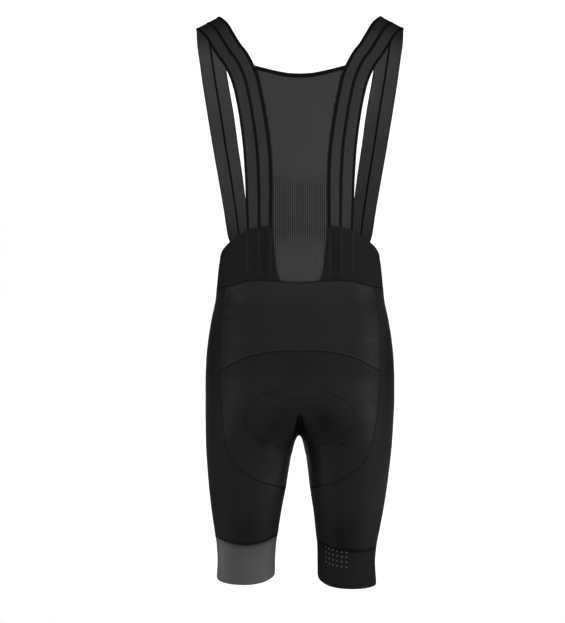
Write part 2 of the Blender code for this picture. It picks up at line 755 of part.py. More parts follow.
def back_mesh():
    """The knitted panel: between the straps above, between the waist panel's edges below."""
    rows, low, _ = strap_rows()
    first = len(STRAP_BACK_END) - 1
    side_points = off_strap(rows)[first : low + 1][::-1]
    drops = np.linspace(1, 0, len(side_points))
    upper = back_net(side_points, drops)
    upper[0, :, 2] -= SEAM
    edge = band_edge()[1:]
    share = np.linspace(1, -1, 2 * ACROSS_MESH + 1)
    lower = skin(edge[:, :1] * np.abs(share), edge[:, 1:] + 0 * share)
    seam = waist_seam()[: ACROSS_MESH + 1][::-1]
    lower[-1, : ACROSS_MESH + 1] = on_skin(seam)
    lower[-1, ACROSS_MESH:] = on_skin(seam[::-1])
    lower[..., 0] *= np.sign(share) + (share == 0)
    lower -= outward(lower) * (CLOTH + SEAM)
    lower[-1, :, 2] += SEAM
    net = np.concatenate([upper, lower])
    points, faces = welded([net])
    inside, _ = welded([net - net_normals(net) * MESH_WALL])
    return wall("back_mesh", points, inside, faces, "open knit")


def neck_binding():
    rows, low, top = strap_rows()
    side_points = off_strap(rows)[low : top + 1][::-1]
    net = back_net(side_points, np.ones(len(side_points)))
    way = net_normals(net)
    outside = net + way * (BINDING_WALL - MESH_WALL) / 2
    points, faces = welded([outside])
    inside, _ = welded([outside - way * BINDING_WALL])
    return wall("neck_binding", points, inside, faces, "binding")


# ---------------------------------------------------------------- the seat pad
def seat_pad():
    """A pad laid on the inside of the seat, from behind, under the crotch, to the front."""
    at = np.linspace(0, PAD[-1][0], PAD_ROWS + 1)
    half = through(column(PAD, 0), column(PAD, 1), at)
    lift = through(column(PAD, 0), column(PAD, 2), at)
    deep = CLOTH + PAD_LAP
    line = np.concatenate([middle_line(-1, PAD_FROM), middle_line(1, PAD_FROM)[-2::-1]])
    place = settled(along(line, at), deep + lift)
    heading = np.tile([1.0, 0, 0], (len(at), 1))
    columns = [place]
    for last, share in zip((0.0,) + PAD_COLUMNS, PAD_COLUMNS):
        for number in range(PAD_STRIDES):
            way = outward(place)
            heading = heading - way * (heading * way).sum(axis=1, keepdims=True)
            heading = heading / np.linalg.norm(heading, axis=1, keepdims=True)
            stride = half * (share - last) / PAD_STRIDES
            reached = last + (share - last) * (number + 1) / PAD_STRIDES
            place = settled(place + heading * stride[:, None], deep + lift * (1 - PAD_SETTLE * reached**2))
        columns.append(place)
    right = np.stack(columns, axis=1)
    net = np.concatenate([mirrored(right)[:, :-1], right], axis=1)
    share = np.array(PAD_COLUMNS[::-1] + (0.0,) + PAD_COLUMNS)[None]
    ends = np.abs(2 * at / at[-1] - 1)[:, None]
    thick = PAD_EDGE + (PAD_WALL - PAD_EDGE) * (1 - share**4) * (1 - ends**4)
    points, faces = welded([net])
    inside, _ = welded([net - outward(net) * thick[..., None]])
    return wall("seat_pad", placed(points), placed(inside), faces, "foam")


def main():
    for old in list(bpy.data.objects):
        bpy.data.objects.remove(old, do_unlink=True)
    upper_back()
    waist_panel()
    for side in (LEFT, RIGHT):
        seat(side)
        leg(side)
        cuff(side)
        strap(side)
    back_mesh()
    neck_binding()
    seat_pad()


main()
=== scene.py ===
"""Cycling bib shorts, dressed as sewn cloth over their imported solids.

Metres, +Z up. The wearer's back faces -Y and the wearer's right is +X. The cloth lies on one skin: two
rounded lobes, one for each leg, that run together above the crotch. A place on the skin is (share, height):
share goes round one half of the garment, from 0 at centre back or the inseam, through 0.5 at the side, to 1
at centre front or the inseam. Every panel is a thin closed sheet, laid on that skin with its creases, seam
rolls and what shows through from the strap ends and the pad under it.
"""

import functools
import math

import bmesh
import bpy
import numpy as np
from bpy.props import FloatProperty, FloatVectorProperty, PointerProperty
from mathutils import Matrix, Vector
from mathutils.kdtree import KDTree


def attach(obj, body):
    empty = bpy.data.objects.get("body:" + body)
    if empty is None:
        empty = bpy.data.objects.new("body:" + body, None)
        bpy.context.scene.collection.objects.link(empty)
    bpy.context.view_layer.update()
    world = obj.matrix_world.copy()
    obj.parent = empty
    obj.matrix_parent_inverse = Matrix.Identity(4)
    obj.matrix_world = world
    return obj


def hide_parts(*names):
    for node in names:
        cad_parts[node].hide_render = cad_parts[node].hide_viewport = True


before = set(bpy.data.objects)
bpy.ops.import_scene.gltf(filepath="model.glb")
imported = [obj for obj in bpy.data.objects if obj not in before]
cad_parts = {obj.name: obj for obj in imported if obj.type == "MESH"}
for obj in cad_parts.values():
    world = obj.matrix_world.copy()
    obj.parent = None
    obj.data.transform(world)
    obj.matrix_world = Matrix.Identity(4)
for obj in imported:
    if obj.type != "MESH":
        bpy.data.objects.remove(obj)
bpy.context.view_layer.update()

bl_info = {
    "name": "Cycling Bib Shorts",
    "version": (1, 0, 0),
    "blender": (4, 5, 0),
    "location": "View3D > Sidebar > Bib Shorts",
    "description": "Sews worn, hollow bib shorts from knitted panels, ribbed straps and stitched seams",
    "category": "Object",
}

# ---------------------------------------------------------------- the form, as the solids have it
CLOTH = 0.0014  # wall of the shorts' panels
MESH_WALL = 0.0012  # wall of the knitted back panel
BINDING_WALL, BINDING_HEIGHT = 0.0024, 0.0070
STRAP_WALL, RIB = 0.0014, 0.0006  # a strap's wall, and how far its ribs stand out
SEAM, SEAM_SPARE = 0.0003, 0.00002  # the gap between two panels, and a little more
SHARPEST = 0.4  # keeps a panel's sharp corner from being drawn in too far
LAP, PAD_LAP = 0.0009, 0.0012  # how far under the cloth the straps' ends and the pad lie
PAD_WALL, PAD_EDGE = 0.0065, 0.0022  # the pad's thickness in the middle and at its edge

# One lobe at each height: its outer and inner x, its depth behind and in front, and how square it is
SECTION_COLUMNS = ("height", "outer", "inner", "back", "front", "square")
SECTIONS = (
    (-0.320, 0.1265, -0.1265, 0.0890, 0.1020, 2.60),
    (-0.360, 0.1270, -0.1270, 0.0880, 0.1040, 2.60),
    (-0.383, 0.1301, -0.1301, 0.0885, 0.1050, 2.60),
    (-0.409, 0.1339, -0.1339, 0.0895, 0.1055, 2.60),
    (-0.436, 0.1366, -0.1366, 0.0920, 0.1060, 2.60),
    (-0.462, 0.1392, -0.1392, 0.0960, 0.1070, 2.55),
    (-0.495, 0.1460, -0.1460, 0.1040, 0.1080, 2.50),
    (-0.528, 0.1513, -0.1500, 0.1130, 0.1070, 2.45),
    (-0.561, 0.1545, -0.1330, 0.1210, 0.1050, 2.40),
    (-0.594, 0.1556, -0.0980, 0.1262, 0.1020, 2.35),
    (-0.627, 0.1556, -0.0580, 0.1250, 0.0990, 2.30),
    (-0.650, 0.1551, -0.0320, 0.1205, 0.0965, 2.30),
    (-0.668, 0.1545, -0.0150, 0.1150, 0.0945, 2.25),
    (-0.678, 0.1542, -0.0060, 0.1115, 0.0930, 2.25),
    (-0.685, 0.1539, 0.0020, 0.1090, 0.0920, 2.25),
    (-0.693, 0.1536, 0.0064, 0.1065, 0.0910, 2.20),
    (-0.710, 0.1526, 0.0107, 0.1010, 0.0895, 2.20),
    (-0.743, 0.1497, 0.0159, 0.0915, 0.0860, 2.15),
    (-0.776, 0.1462, 0.0205, 0.0830, 0.0820, 2.15),
    (-0.809, 0.1416, 0.0262, 0.0755, 0.0775, 2.15),
    (-0.842, 0.1361, 0.0306, 0.0690, 0.0725, 2.15),
    (-0.866, 0.1320, 0.0338, 0.0655, 0.0695, 2.15),
    (-0.892, 0.1302, 0.0349, 0.0630, 0.0670, 2.15),
    (-0.930, 0.1322, 0.0352, 0.0640, 0.0675, 2.15),
)
SECTION = dict(zip(SECTION_COLUMNS, np.array(SECTIONS[::-1]).T))
BLEND_OF_SPREAD, BLEND_AT_CROTCH, BLEND_OF_OVERLAP = 1.6, 0.008, 0.9  # how softly the lobes run together
POLE_TOP, POLE_DROP, POLE_OUT = -0.46, 0.38, 0.083  # where the line that the shares fan out from runs
LEAN_FROM, LEAN_TO, LEAN = -0.627, -0.892, -0.006  # both legs lean a little to the left

# Seams behind as (x, height), and those that run on round the side as (share, height)
BAND_EDGE = (
    (0.0465, -0.344), (0.0423, -0.373), (0.0402, -0.392), (0.0380, -0.412), (0.0348, -0.426),
    (0.0300, -0.433),
)
SEAT_TOP = (
    (0.0000, -0.5420), (0.0440, -0.5440), (0.0630, -0.5475), (0.0840, -0.5530), (0.1080, -0.5640),
    (0.1290, -0.5760),
)
SIDE_SEAM = (
    (0.1212, -0.441), (0.1240, -0.462), (0.1278, -0.495), (0.1292, -0.527), (0.1290, -0.576),
    (0.1268, -0.617), (0.1228, -0.650), (0.1185, -0.680), (0.1130, -0.702), (0.1050, -0.718),
    (0.0940, -0.731),
)
SIDE_AT_SEAT_TOP = 4  # the side seam's row where the seat's upper seam meets it
UNDER_SEAT = (
    (0.0200, -0.7710), (0.0235, -0.7675), (0.0400, -0.7610), (0.0570, -0.7550), (0.0740, -0.7455),
    (0.0940, -0.7310),
)
BAND_TOP = (
    (0.000, -0.3430), (0.160, -0.3440), (0.205, -0.3455), (0.268, -0.3500), (0.302, -0.3560),
    (0.350, -0.3655), (0.393, -0.3745), (0.445, -0.3835), (0.520, -0.3900), (0.610, -0.3840),
    (0.720, -0.3760), (0.820, -0.3860), (0.910, -0.4000), (1.000, -0.4060), (1.090, -0.4000),
)
WAIST_SEAM = (
    (0.000, -0.4350), (0.103, -0.4330), (0.193, -0.4310), (0.255, -0.4315), (0.285, -0.4350),
    (0.360, -0.4410), (0.500, -0.4460), (0.750, -0.4535), (1.000, -0.4580), (1.250, -0.4535),
)
ROUND_THIGH = ((0.50, -0.746), (0.75, -0.761), (1.00, -0.771))
LEG_END = (  # share, then the heights of the left cuff's seam and hem and of the right one's
    (0.00, -0.8455, -0.9140, -0.8500, -0.9160),
    (0.10, -0.8477, -0.9165, -0.8562, -0.9212),
    (0.18, -0.8535, -0.9205, -0.8625, -0.9262),
    (0.25, -0.8565, -0.9222, -0.8660, -0.9283),
    (0.32, -0.8534, -0.9218, -0.8667, -0.9288),
    (0.40, -0.8489, -0.9205, -0.8643, -0.9290),
    (0.50, -0.8470, -0.9192, -0.8620, -0.9290),
    (0.75, -0.8490, -0.9200, -0.8570, -0.9250),
    (1.00, -0.8455, -0.9140, -0.8500, -0.9160),
)
LEFT, RIGHT = -1, 1
SIDES = {LEFT: "left", RIGHT: "right"}
# how far and how finely a point is looked for, and how often a net is evened
ROOM, HALVINGS, LINE_POINTS, PATH_POINTS, RELAX_ROUNDS, TINY = 0.3, 30, 240, 2000, 80, 1e-9
# coarse faces of each stretch of seam
ACROSS_MESH, ACROSS_BACK, ROUND_FRONT = 6, 6, 20
DOWN_BAND, DOWN_BACK, DOWN_SEAT, DOWN_INSEAM, DOWN_LEG, DOWN_CUFF = 6, 6, 8, 5, 7, 4
BACK_HALF = ACROSS_MESH + ACROSS_BACK
HALF_TURN = 0.30  # the share at which a leg's back faces give way to its front ones

STRAP_FREE = (  # the right strap's outer edge and inner edge, from the back waist over the shoulder
    (0.0866, -0.0785, -0.3200, 0.0440, -0.0880, -0.3200),
    (0.0877, -0.0885, -0.2720, 0.0434, -0.0970, -0.2720),
    (0.0906, -0.0990, -0.2217, 0.0457, -0.1060, -0.2217),
    (0.0962, -0.1070, -0.1749, 0.0529, -0.1120, -0.1693),
    (0.1026, -0.1105, -0.1396, 0.0604, -0.1135, -0.1296),
    (0.1093, -0.1100, -0.1154, 0.0672, -0.1130, -0.1029),
    (0.1192, -0.1040, -0.0933, 0.0815, -0.1060, -0.0727),
    (0.1301, -0.0945, -0.0773, 0.0950, -0.0975, -0.0537),
    (0.1412, -0.0800, -0.0589, 0.1053, -0.0840, -0.0353),
    (0.1527, -0.0600, -0.0385, 0.1170, -0.0600, -0.0140),
    (0.1695, -0.0210, -0.0178, 0.1310, -0.0200, 0.0030),
    (0.1722, 0.0150, -0.0168, 0.1335, 0.0150, 0.0037),
    (0.1735, 0.0480, -0.0310, 0.1335, 0.0500, -0.0130),
    (0.1707, 0.0700, -0.0575, 0.1285, 0.0730, -0.0465),
    (0.1662, 0.0830, -0.0940, 0.1228, 0.0900, -0.0870),
    (0.1580, 0.0900, -0.1480, 0.1138, 0.1000, -0.1410),
    (0.1488, 0.0860, -0.2030, 0.1064, 0.1020, -0.1960),
    (0.1388, 0.0740, -0.2570, 0.0982, 0.0965, -0.2510),
    (0.1290, 0.0600, -0.3110, 0.0913, 0.0890, -0.3070),
    (0.1222, 0.0520, -0.3520, 0.0873, 0.0830, -0.3500),
)
STRAP_BACK_END = (  # height, then the x of both edges under the waist panel
    (-0.424, 0.0860, 0.0452), (-0.405, 0.0865, 0.0452), (-0.386, 0.0868, 0.0452),
    (-0.368, 0.0869, 0.0452), (-0.350, 0.0868, 0.0450),
)
STRAP_FRONT_END = (
    (-0.374, 0.1178, 0.0850), (-0.395, 0.1155, 0.0836), (-0.417, 0.1142, 0.0825),
    (-0.438, 0.1132, 0.0815),
)
RIBS = ((0.000, 0.100), (0.446, 0.554), (0.876, 1.000))  # where a strap's ribs start and end across it
RIBS_INSIDE = ((0.0, 0.03), (0.462, 0.538), (0.955, 1.0))  # and where they show on its inner side
NECK_SIDE = -0.0915  # the height at which the neckline meets the straps
NECKLINE = (  # share of the way from the middle, and how far the back panel's edge dips
    (-0.20, 0.0131), (0.00, 0.0137), (0.20, 0.0131), (0.43, 0.0105), (0.70, 0.0059), (0.88, 0.0024),
    (1.00, 0.0000),
)
MESH_BOW = 0.003  # how far the back panel bows out between the straps
PAD = (  # way along from its back edge, half width, how far it lies in from the skin
    (0.000, 0.034, 0.0010), (0.012, 0.066, 0.0015), (0.030, 0.081, 0.0025), (0.046, 0.085, 0.0035),
    (0.062, 0.078, 0.0045), (0.080, 0.058, 0.0045), (0.098, 0.046, 0.0045), (0.145, 0.043, 0.0040),
    (0.190, 0.045, 0.0035), (0.235, 0.043, 0.0035), (0.262, 0.034, 0.0030), (0.275, 0.018, 0.0030),
)
PAD_FROM = -0.607  # the height of the pad's back edge
PAD_COLUMNS = (0.08, 0.17, 0.29, 0.50, 0.75, 1.00)  # its columns, as shares of the half width
PAD_STRIDES, PAD_SETTLE = 6, 0.6  # strides for each column; how far its edge settles on the cloth

# ---------------------------------------------------------------- what only shows in the cloth
# faces of each cloth for each face of its solid, each way
BACK_FINE, BAND_FINE, LEG_FINE, CUFF_FINE = ((11, 9, 6, 7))
ROLL, ROLL_WIDTH = 0.00026, 0.0014  # how deep and how wide a panel's edge rolls down into its seam
WELT, WELT_FROM, WELT_WIDTH = 0.00020, 0.0034, 0.0014  # the soft rise over the seam allowance beside it
STRAP_TUCK = 0.0010  # how far the back panel's edge goes into the strap's edge
PANEL_TUCK = 0.007  # how far it goes under the waist panel, as a share of the way round to the front
FLAT_LAP = -0.3  # the flat seam down the middle of the seat laps by this share of the other seams' gap
QUIET_SEAM = 0.15  # how much of both the flat seam down the middle of the seat keeps
FOLD_FROM, FOLD_HALF, FOLD_SOFT = -0.638, 0.0105, 0.0035  # the fold over the crotch: top, half width, edge
FOLD_DEPTH, FOLD_PAINTED_SHADE = 0.0140, 0.97  # how deep the fold goes in, and how dark its painted shade is
# Painted light (below 0, paler) and painted shade (above 0, darker) in soft spots on the back:
# x, height, half width, half height, lean, tone
PAINTED_LIGHT_AND_SHADE_SPOTS = (
    (-0.0310, -0.738, 0.0120, 0.030, 0.27, -0.75),  # painted light on the left thigh's inner side
    (0.0360, -0.740, 0.0090, 0.026, -0.20, -0.25),  # and the right one's
    (-0.0150, -0.682, 0.0050, 0.034, 0.36, -0.60),  # painted light beside the fold
    (-0.0375, -0.663, 0.0230, 0.032, 0.55, 0.52),  # painted shade between it and the pad's edge
    (0.0440, -0.658, 0.0250, 0.032, -0.55, 0.47),
    (0.0150, -0.690, 0.0060, 0.034, -0.20, 0.45),
    (-0.1080, -0.620, 0.0220, 0.055, 0.0, -0.15),  # painted light on the left side of the seat
    (0.1190, -0.525, 0.0180, 0.055, 0.0, -0.45),  # painted highlight on the right side of the upper back panel
    (-0.1500, -0.555, 0.0170, 0.055, 0.0, 0.38),  # painted shade over both hips
    (0.1500, -0.560, 0.0170, 0.060, 0.0, 0.55),
    (0.1370, -0.765, 0.0130, 0.055, 0.25, -0.45),  # painted light on the right thigh's outer side
    (-0.1290, -0.885, 0.0120, 0.050, 0.0, -0.50),  # painted light on both edges of the left cuff
    (-0.0420, -0.885, 0.0100, 0.050, 0.0, -0.20),
    (0.0000, -0.570, 0.0550, 0.032, 0.0, 0.25),  # painted shade between the buttocks
    (-0.0430, -0.612, 0.0200, 0.006, 0.25, 0.22),  # painted shade over the pad's upper edge
    (0.0560, -0.618, 0.0170, 0.006, -0.30, 0.22),
    (-0.0606, -0.691, 0.0050, 0.003, -0.30, 0.45),  # painted shade where the pad's lower edge meets the cloth
    (0.0674, -0.691, 0.0060, 0.003, 0.40, 0.50),
    (-0.0800, -0.838, 0.0340, 0.030, 0.0, 0.38),  # painted shade above the cuffs
    (0.0720, -0.842, 0.0340, 0.030, 0.0, 0.42),
    (-0.0560, -0.395, 0.0120, 0.045, 0.0, 0.20),  # painted shade beside the knitted back panel
    (0.0560, -0.395, 0.0120, 0.045, 0.0, 0.20),
)
HEM_PAINTED_SHADE, HEM_WIDTH = 0.5, 0.0040  # how dark the painted shade is along the cuff's seam, and how wide
HEM_FROM, HEM_REACH = -0.855, 0.014  # the height of that seam, and how far up and down it swings
LOW_KNIT_PALE = 0.8  # how much paler the knitted back panel's ground is drawn towards its bottom, below the waist panel's top
SHOULDER_PAINTED_SHADE = 0.55  # how dark the painted shade is where the straps turn over the shoulders
RIB_PAINTED_HIGHLIGHT = 0.42  # how bright the painted highlight is on the waist panel along each strap's rib under it
RIB_MARK, RIB_MARK_WIDTH = 0.0013, 0.0017  # how far, and how wide, a strap's rib lifts the waist panel
RIB_MARK_SHARES = (0.05, 0.50, 0.94)  # where across the strap those ribs lie
RIB_MARK_FADE = (0.06, 0.06)  # the shares of its length in which such a mark fades in and out
PAD_MARK, PAD_MARK_WIDTH = 0.0009, 0.013  # the soft step over the pad's edge
PAD_REACH_UP, PAD_REACH_DOWN = 0.02, 0.12  # the heights about the pad's top in which it shows
PAD_GROOVE, PAD_GROOVE_WIDTH = 0.0002, 0.0026  # the groove that the pad's stitch draws in
PAD_STITCH_FROM = 0.030  # nearer the middle than this the stitch lies under the fold
FLAT_THREAD, PAD_THREAD = 0.45, 0.8  # how thick these threads are beside the seams' own
CREASE_POINTS, RIB_POINTS, PAD_EDGE_STEP = 40, 60, 0.002  # how finely these lines are drawn
FLAT_SEAM_HALF = 0.008  # how far from the middle the flat seam still counts
FOLD_REACH, FOLD_POINT, FOLD_START = 1.2, 0.8, 0.25  # how far down it runs, its point, and how soon its painted shade starts
FOLD_FRONT, FOLD_FRONT_SOFT = 0.045, 0.02  # the depth at which the fold ends in front, and how softly
PAINTED_SPOTS_TO, PAINTED_SPOTS_POINT = 0.04, 0.5  # how softly the painted light and shade of the back end round the sides
SHARP_ANGLE = math.radians(50)  # an edge sharper than this isn't smoothed
THREAD_ARCH = 0.35  # how far a covering thread rises in the middle of its swing, in thicknesses
SEAM_STEP, SEAM_FINE, INSEAM_POINTS = 0.0012, 3, 30  # how finely the seams' lines are drawn
KNIT_STEP, KNIT_FINE = 0.009, 3  # the coarse rows of the knitted back panel, and rows for each
RIB_LINES, BAND_LINES = 8, 10  # lines of points across a strap's rib and across a band
PALEST = -1.5  # the least that the painted light and shade may be; the fold's painted shade is the most
CLOTH_PLACES = "cloth_places"  # the attribute that tells a knit its own directions and, in its third part, its painted light and shade

# Soft creases: side, behind (-1) or in front (1), half width and height, then the x and z of the points
# that each passes. A height below 0 is a trough. x counts outwards from the middle.
CREASES = (
    # under the seat and down the inner thigh, where the cloth is drawn towards the crotch
    (LEFT, -1, 0.0060, 0.0009, ((0.050, -0.690), (0.044, -0.714), (0.037, -0.738), (0.033, -0.757))),
    (LEFT, -1, 0.0070, -0.0007, ((0.064, -0.699), (0.058, -0.719), (0.052, -0.741), (0.047, -0.752))),
    (LEFT, -1, 0.0042, -0.0010, ((0.012, -0.668), (0.030, -0.679), (0.046, -0.686), (0.060, -0.688))),
    (LEFT, -1, 0.0038, 0.0008, ((0.018, -0.684), (0.034, -0.694), (0.053, -0.700))),
    (LEFT, -1, 0.0050, -0.0009, ((0.020, -0.700), (0.031, -0.713), (0.036, -0.731))),
    (RIGHT, -1, 0.0045, -0.0010, ((0.014, -0.672), (0.028, -0.683), (0.040, -0.688), (0.052, -0.686))),
    (RIGHT, -1, 0.0040, 0.0009, ((0.020, -0.690), (0.037, -0.699), (0.056, -0.699), (0.070, -0.693))),
    (RIGHT, -1, 0.0065, 0.0010, ((0.046, -0.706), (0.040, -0.727), (0.036, -0.749))),
    (RIGHT, -1, 0.0075, -0.0010, ((0.060, -0.710), (0.056, -0.728), (0.054, -0.744))),
    (RIGHT, -1, 0.0032, -0.0008, ((0.044, -0.687), (0.055, -0.682), (0.066, -0.674))),
    # small puckers under the waist seam and at the side of the upper back panel
    (LEFT, -1, 0.0030, -0.0006, ((0.118, -0.446), (0.117, -0.458), (0.114, -0.469))),
    (LEFT, -1, 0.0034, -0.0005, ((0.109, -0.443), (0.107, -0.452), (0.103, -0.464), (0.102, -0.478))),
    (LEFT, -1, 0.0028, 0.0004, ((0.099, -0.440), (0.096, -0.451), (0.094, -0.459))),
    (LEFT, -1, 0.0060, -0.0007, ((0.124, -0.480), (0.112, -0.487), (0.098, -0.489))),
    (RIGHT, -1, 0.0030, -0.0004, ((0.112, -0.445), (0.112, -0.457), (0.110, -0.466))),
    (RIGHT, -1, 0.0044, -0.0003, ((0.121, -0.527), (0.111, -0.529), (0.098, -0.528))),
    (RIGHT, -1, 0.0040, -0.0002, ((0.108, -0.548), (0.096, -0.547), (0.084, -0.548))),
    # the hip's and the groin's folds in front, from the crotch up and out
    (LEFT, 1, 0.0090, -0.0026, ((0.012, -0.664), (0.040, -0.648), (0.075, -0.632), (0.108, -0.622))),
    (LEFT, 1, 0.0070, 0.0016, ((0.020, -0.652), (0.046, -0.633), (0.072, -0.619), (0.092, -0.612))),
    (LEFT, 1, 0.0075, -0.0019, ((0.026, -0.692), (0.052, -0.673), (0.084, -0.659), (0.104, -0.655))),
    (LEFT, 1, 0.0060, -0.0013, ((0.030, -0.716), (0.052, -0.703), (0.078, -0.697))),
    (RIGHT, 1, 0.0085, -0.0023, ((0.010, -0.658), (0.034, -0.645), (0.068, -0.627), (0.118, -0.612))),
    (RIGHT, 1, 0.0065, 0.0014, ((0.030, -0.629), (0.052, -0.616), (0.074, -0.607))),
    (RIGHT, 1, 0.0080, -0.0020, ((0.024, -0.686), (0.048, -0.672), (0.070, -0.661), (0.096, -0.650))),
    (RIGHT, 1, 0.0055, -0.0012, ((0.040, -0.707), (0.060, -0.700), (0.080, -0.689), (0.098, -0.684))),
    # across the belly, under the front of the waist panel
    (LEFT, 1, 0.0110, -0.0014, ((0.086, -0.498), (0.052, -0.506), (0.018, -0.504))),
    (RIGHT, 1, 0.0100, -0.0012, ((0.012, -0.522), (0.044, -0.527), (0.086, -0.520), (0.104, -0.515))),
    (RIGHT, 1, 0.0080, 0.0008, ((0.030, -0.489), (0.060, -0.492), (0.082, -0.487))),
    # round the outside of the thighs
    (LEFT, -1, 0.0080, -0.0008, ((0.104, -0.776), (0.120, -0.783), (0.133, -0.786))),
    (RIGHT, 1, 0.0085, -0.0009, ((0.090, -0.795), (0.112, -0.802), (0.128, -0.800))),
    (LEFT, 1, 0.0070, -0.0008, ((0.052, -0.820), (0.072, -0.826), (0.094, -0.823))),
)


def sizes():
    """The sizes as they are set."""
    return bpy.context.scene.bib_sizes


# ---------------------------------------------------------------- curves
def between(keys, values, slope, at):
    """The cubic with these slopes at a table's points, read at `at`; values may be vectors."""
    i = np.clip(np.searchsorted(keys, at, side="right") - 1, 0, len(keys) - 2)
    h = np.diff(keys)[i]
    t = np.clip((at - keys[i]) / h, 0, 1)
    if values.ndim > 1:
        h, t = h[:, None], t[:, None]
    start = (1 + 2 * t) * (1 - t) ** 2 * values[i] + t * (1 - t) ** 2 * h * slope[i]
    return start + t * t * (3 - 2 * t) * values[i + 1] + t * t * (t - 1) * h * slope[i + 1]


def through(keys, values, at):
    """A smooth curve through a table's points that never swings past them."""
    keys, values, at = (np.asarray(a, float) for a in (keys, values, at))
    rise = np.diff(values) / np.diff(keys)
    slope = np.concatenate([rise[:1], np.zeros(len(keys) - 2), rise[-1:]])
    pair = rise[:-1] * rise[1:]
    same = pair > 0
    slope[1:-1][same] = 2 * pair[same] / (rise[:-1] + rise[1:])[same]
    return between(keys, values, slope, at)


def flowing(points, at):
    """A path that flows through the points, read at `at`, which counts the points from 0."""
    keys = np.arange(len(points), dtype=float)
    return between(keys, points, np.gradient(points, axis=0), np.asarray(at, float))


def column(table, index):
    """One column of a table."""
    return np.array([row[index] for row in table], float)


def walked(line):
    """How far along a line each of its points lies."""
    return np.concatenate([[0], np.cumsum(np.linalg.norm(np.diff(line, axis=0), axis=1))])


def trace(table, count, first=0, last=None):
    """count + 1 places, evenly apart, along a seam's table from row `first` to row `last`."""
    seam = np.array(table, float)
    way = walked(seam)
    at = np.linspace(way[first], way[-1 if last is None else last], count + 1)
    return np.stack([through(way, seam[:, 0], at), through(way, seam[:, 1], at)], axis=1)


def smooth(at):
    """A soft step from 0 to 1."""
    at = np.clip(at, 0, 1)
    return at * at * (3 - 2 * at)


def unit(vectors):
    """The vectors at length 1."""
    return vectors / np.maximum(np.linalg.norm(vectors, axis=-1, keepdims=True), TINY)


# ---------------------------------------------------------------- the skin
def section(z):
    """The lobe's centre, half width, depths, squareness and blend at these heights."""
    outer, inner, back, front, square = (
        through(SECTION["height"], SECTION[name], z) for name in SECTION_COLUMNS[1:]
    )
    centre, half = (outer + inner) / 2, (outer - inner) / 2
    spread = BLEND_OF_SPREAD * centre**2 / half + TINY
    overlap = BLEND_AT_CROTCH + BLEND_OF_OVERLAP * np.maximum(-inner, 0)
    return centre, half, back, front, square, spread * overlap / np.hypot(spread, overlap)


def field(x, y, cut):
    """Roughly how far (x, y) lies outside the skin on the section `cut`; below 0 inside."""
    centre, half, back, front, square, blend = cut
    deep = np.where(y < 0, back, front)
    lobes = []
    for side in (LEFT, RIGHT):
        size = np.abs((x - side * centre) / half) ** square + np.abs(y / deep) ** square
        lobes.append((size ** (1 / square) - 1) * np.minimum(half, deep))
    near = np.maximum(blend - np.abs(lobes[0] - lobes[1]), 0) / blend
    return np.minimum(*lobes) - near**2 * blend / 4


def root(low, high, value):
    """Where `value` turns from below 0 to above it on the way from low to high."""
    for _ in range(HALVINGS):
        middle = (low + high) / 2
        inside = value(middle) < 0
        low, high = np.where(inside, middle, low), np.where(inside, high, middle)
    return (low + high) / 2


CROTCH = float(root(-0.66, -0.72, lambda z: field(0.0, 0.0, section(z))))


def slope(p, h=0.0004):
    """The gradient of the field at these points."""
    grad = np.zeros_like(p)
    for axis in range(3):
        step = h * np.eye(3)[axis]
        ahead, behind = p + step, p - step
        rise = field(ahead[..., 0], ahead[..., 1], section(ahead[..., 2]))
        rise = rise - field(behind[..., 0], behind[..., 1], section(behind[..., 2]))
        grad[..., axis] = rise / (2 * h)
    return grad


def outward(p):
    """The way off the skin at these points."""
    return unit(slope(p))


def pole(z):
    """The x from which the shares fan out at this height."""
    return POLE_OUT * smooth((POLE_TOP - z) / POLE_DROP)


def skin(share, z):
    """The points of the right half's skin at these places."""
    share, z = np.broadcast_arrays(np.asarray(share, float), np.asarray(z, float))
    front = np.where(share > 0.5, 1.0, -1.0)
    turn = np.abs(2 * share - 1)
    cut, centre, none = section(z), pole(z), 0 * z
    joined = field(none, none, cut) < 0
    edge = np.where(joined, root(none, none + ROOM, lambda y: field(none, front * y, cut)), 0.0)
    angle = front * turn * (math.pi - np.arctan2(edge, centre))
    inward = -np.cos(angle)
    far = np.where(inward > TINY, np.minimum(centre / np.maximum(inward, TINY), ROOM), ROOM)
    r = root(none, far, lambda r: field(centre - r * inward, r * np.sin(angle), cut))
    at_middle = joined & (turn > 1 - TINY)
    x = np.where(at_middle, 0.0, centre - r * inward)
    y = np.where(at_middle, front * edge, r * np.sin(angle))
    return np.stack([x, y, z], axis=-1)


def behind(seam):
    """The places of a seam given by its x and height as seen from behind."""
    x, z = seam[:, 0], seam[:, 1]
    share = root(0 * x, 0 * x + 0.5, lambda share: skin(share, z)[:, 0] - x)
    share[np.abs(x) < TINY] = 0.0
    return np.stack([share, z], axis=1)


def depth(x, z, sign):
    """The y of the skin at (x, z), behind for sign -1 and in front for sign 1."""
    x, z = np.asarray(x, float), np.asarray(z, float)
    cut = section(z)
    return sign * root(0 * x, 0 * x + ROOM, lambda y: field(x, sign * y, cut))


def on_skin(places):
    """The points of the skin at an array of places."""
    return skin(places[..., 0], places[..., 1])


def settled(p, deep=0.0, rounds=4):
    """The points moved along the field to `deep` inside the skin."""
    for _ in range(rounds):
        grad = slope(p)
        steep = np.linalg.norm(grad, axis=-1)
        off = field(p[..., 0], p[..., 1], section(p[..., 2])) / steep + deep
        p = p - grad * (off / steep)[..., None]
    return p


def read(vectors, way, at):
    """Vectors that are known at the distances `way`, read at the distances `at`."""
    return np.stack([np.interp(at, way, vectors[:, axis]) for axis in range(3)], axis=1)


def along(line, at):
    """Points of a line at these distances from its start."""
    return read(line, walked(line), at)


def evenly(line, step):
    """The line with points about `step` apart."""
    way = walked(line)[-1]
    return along(line, np.linspace(0, way, max(2, round(way / step) + 1)))


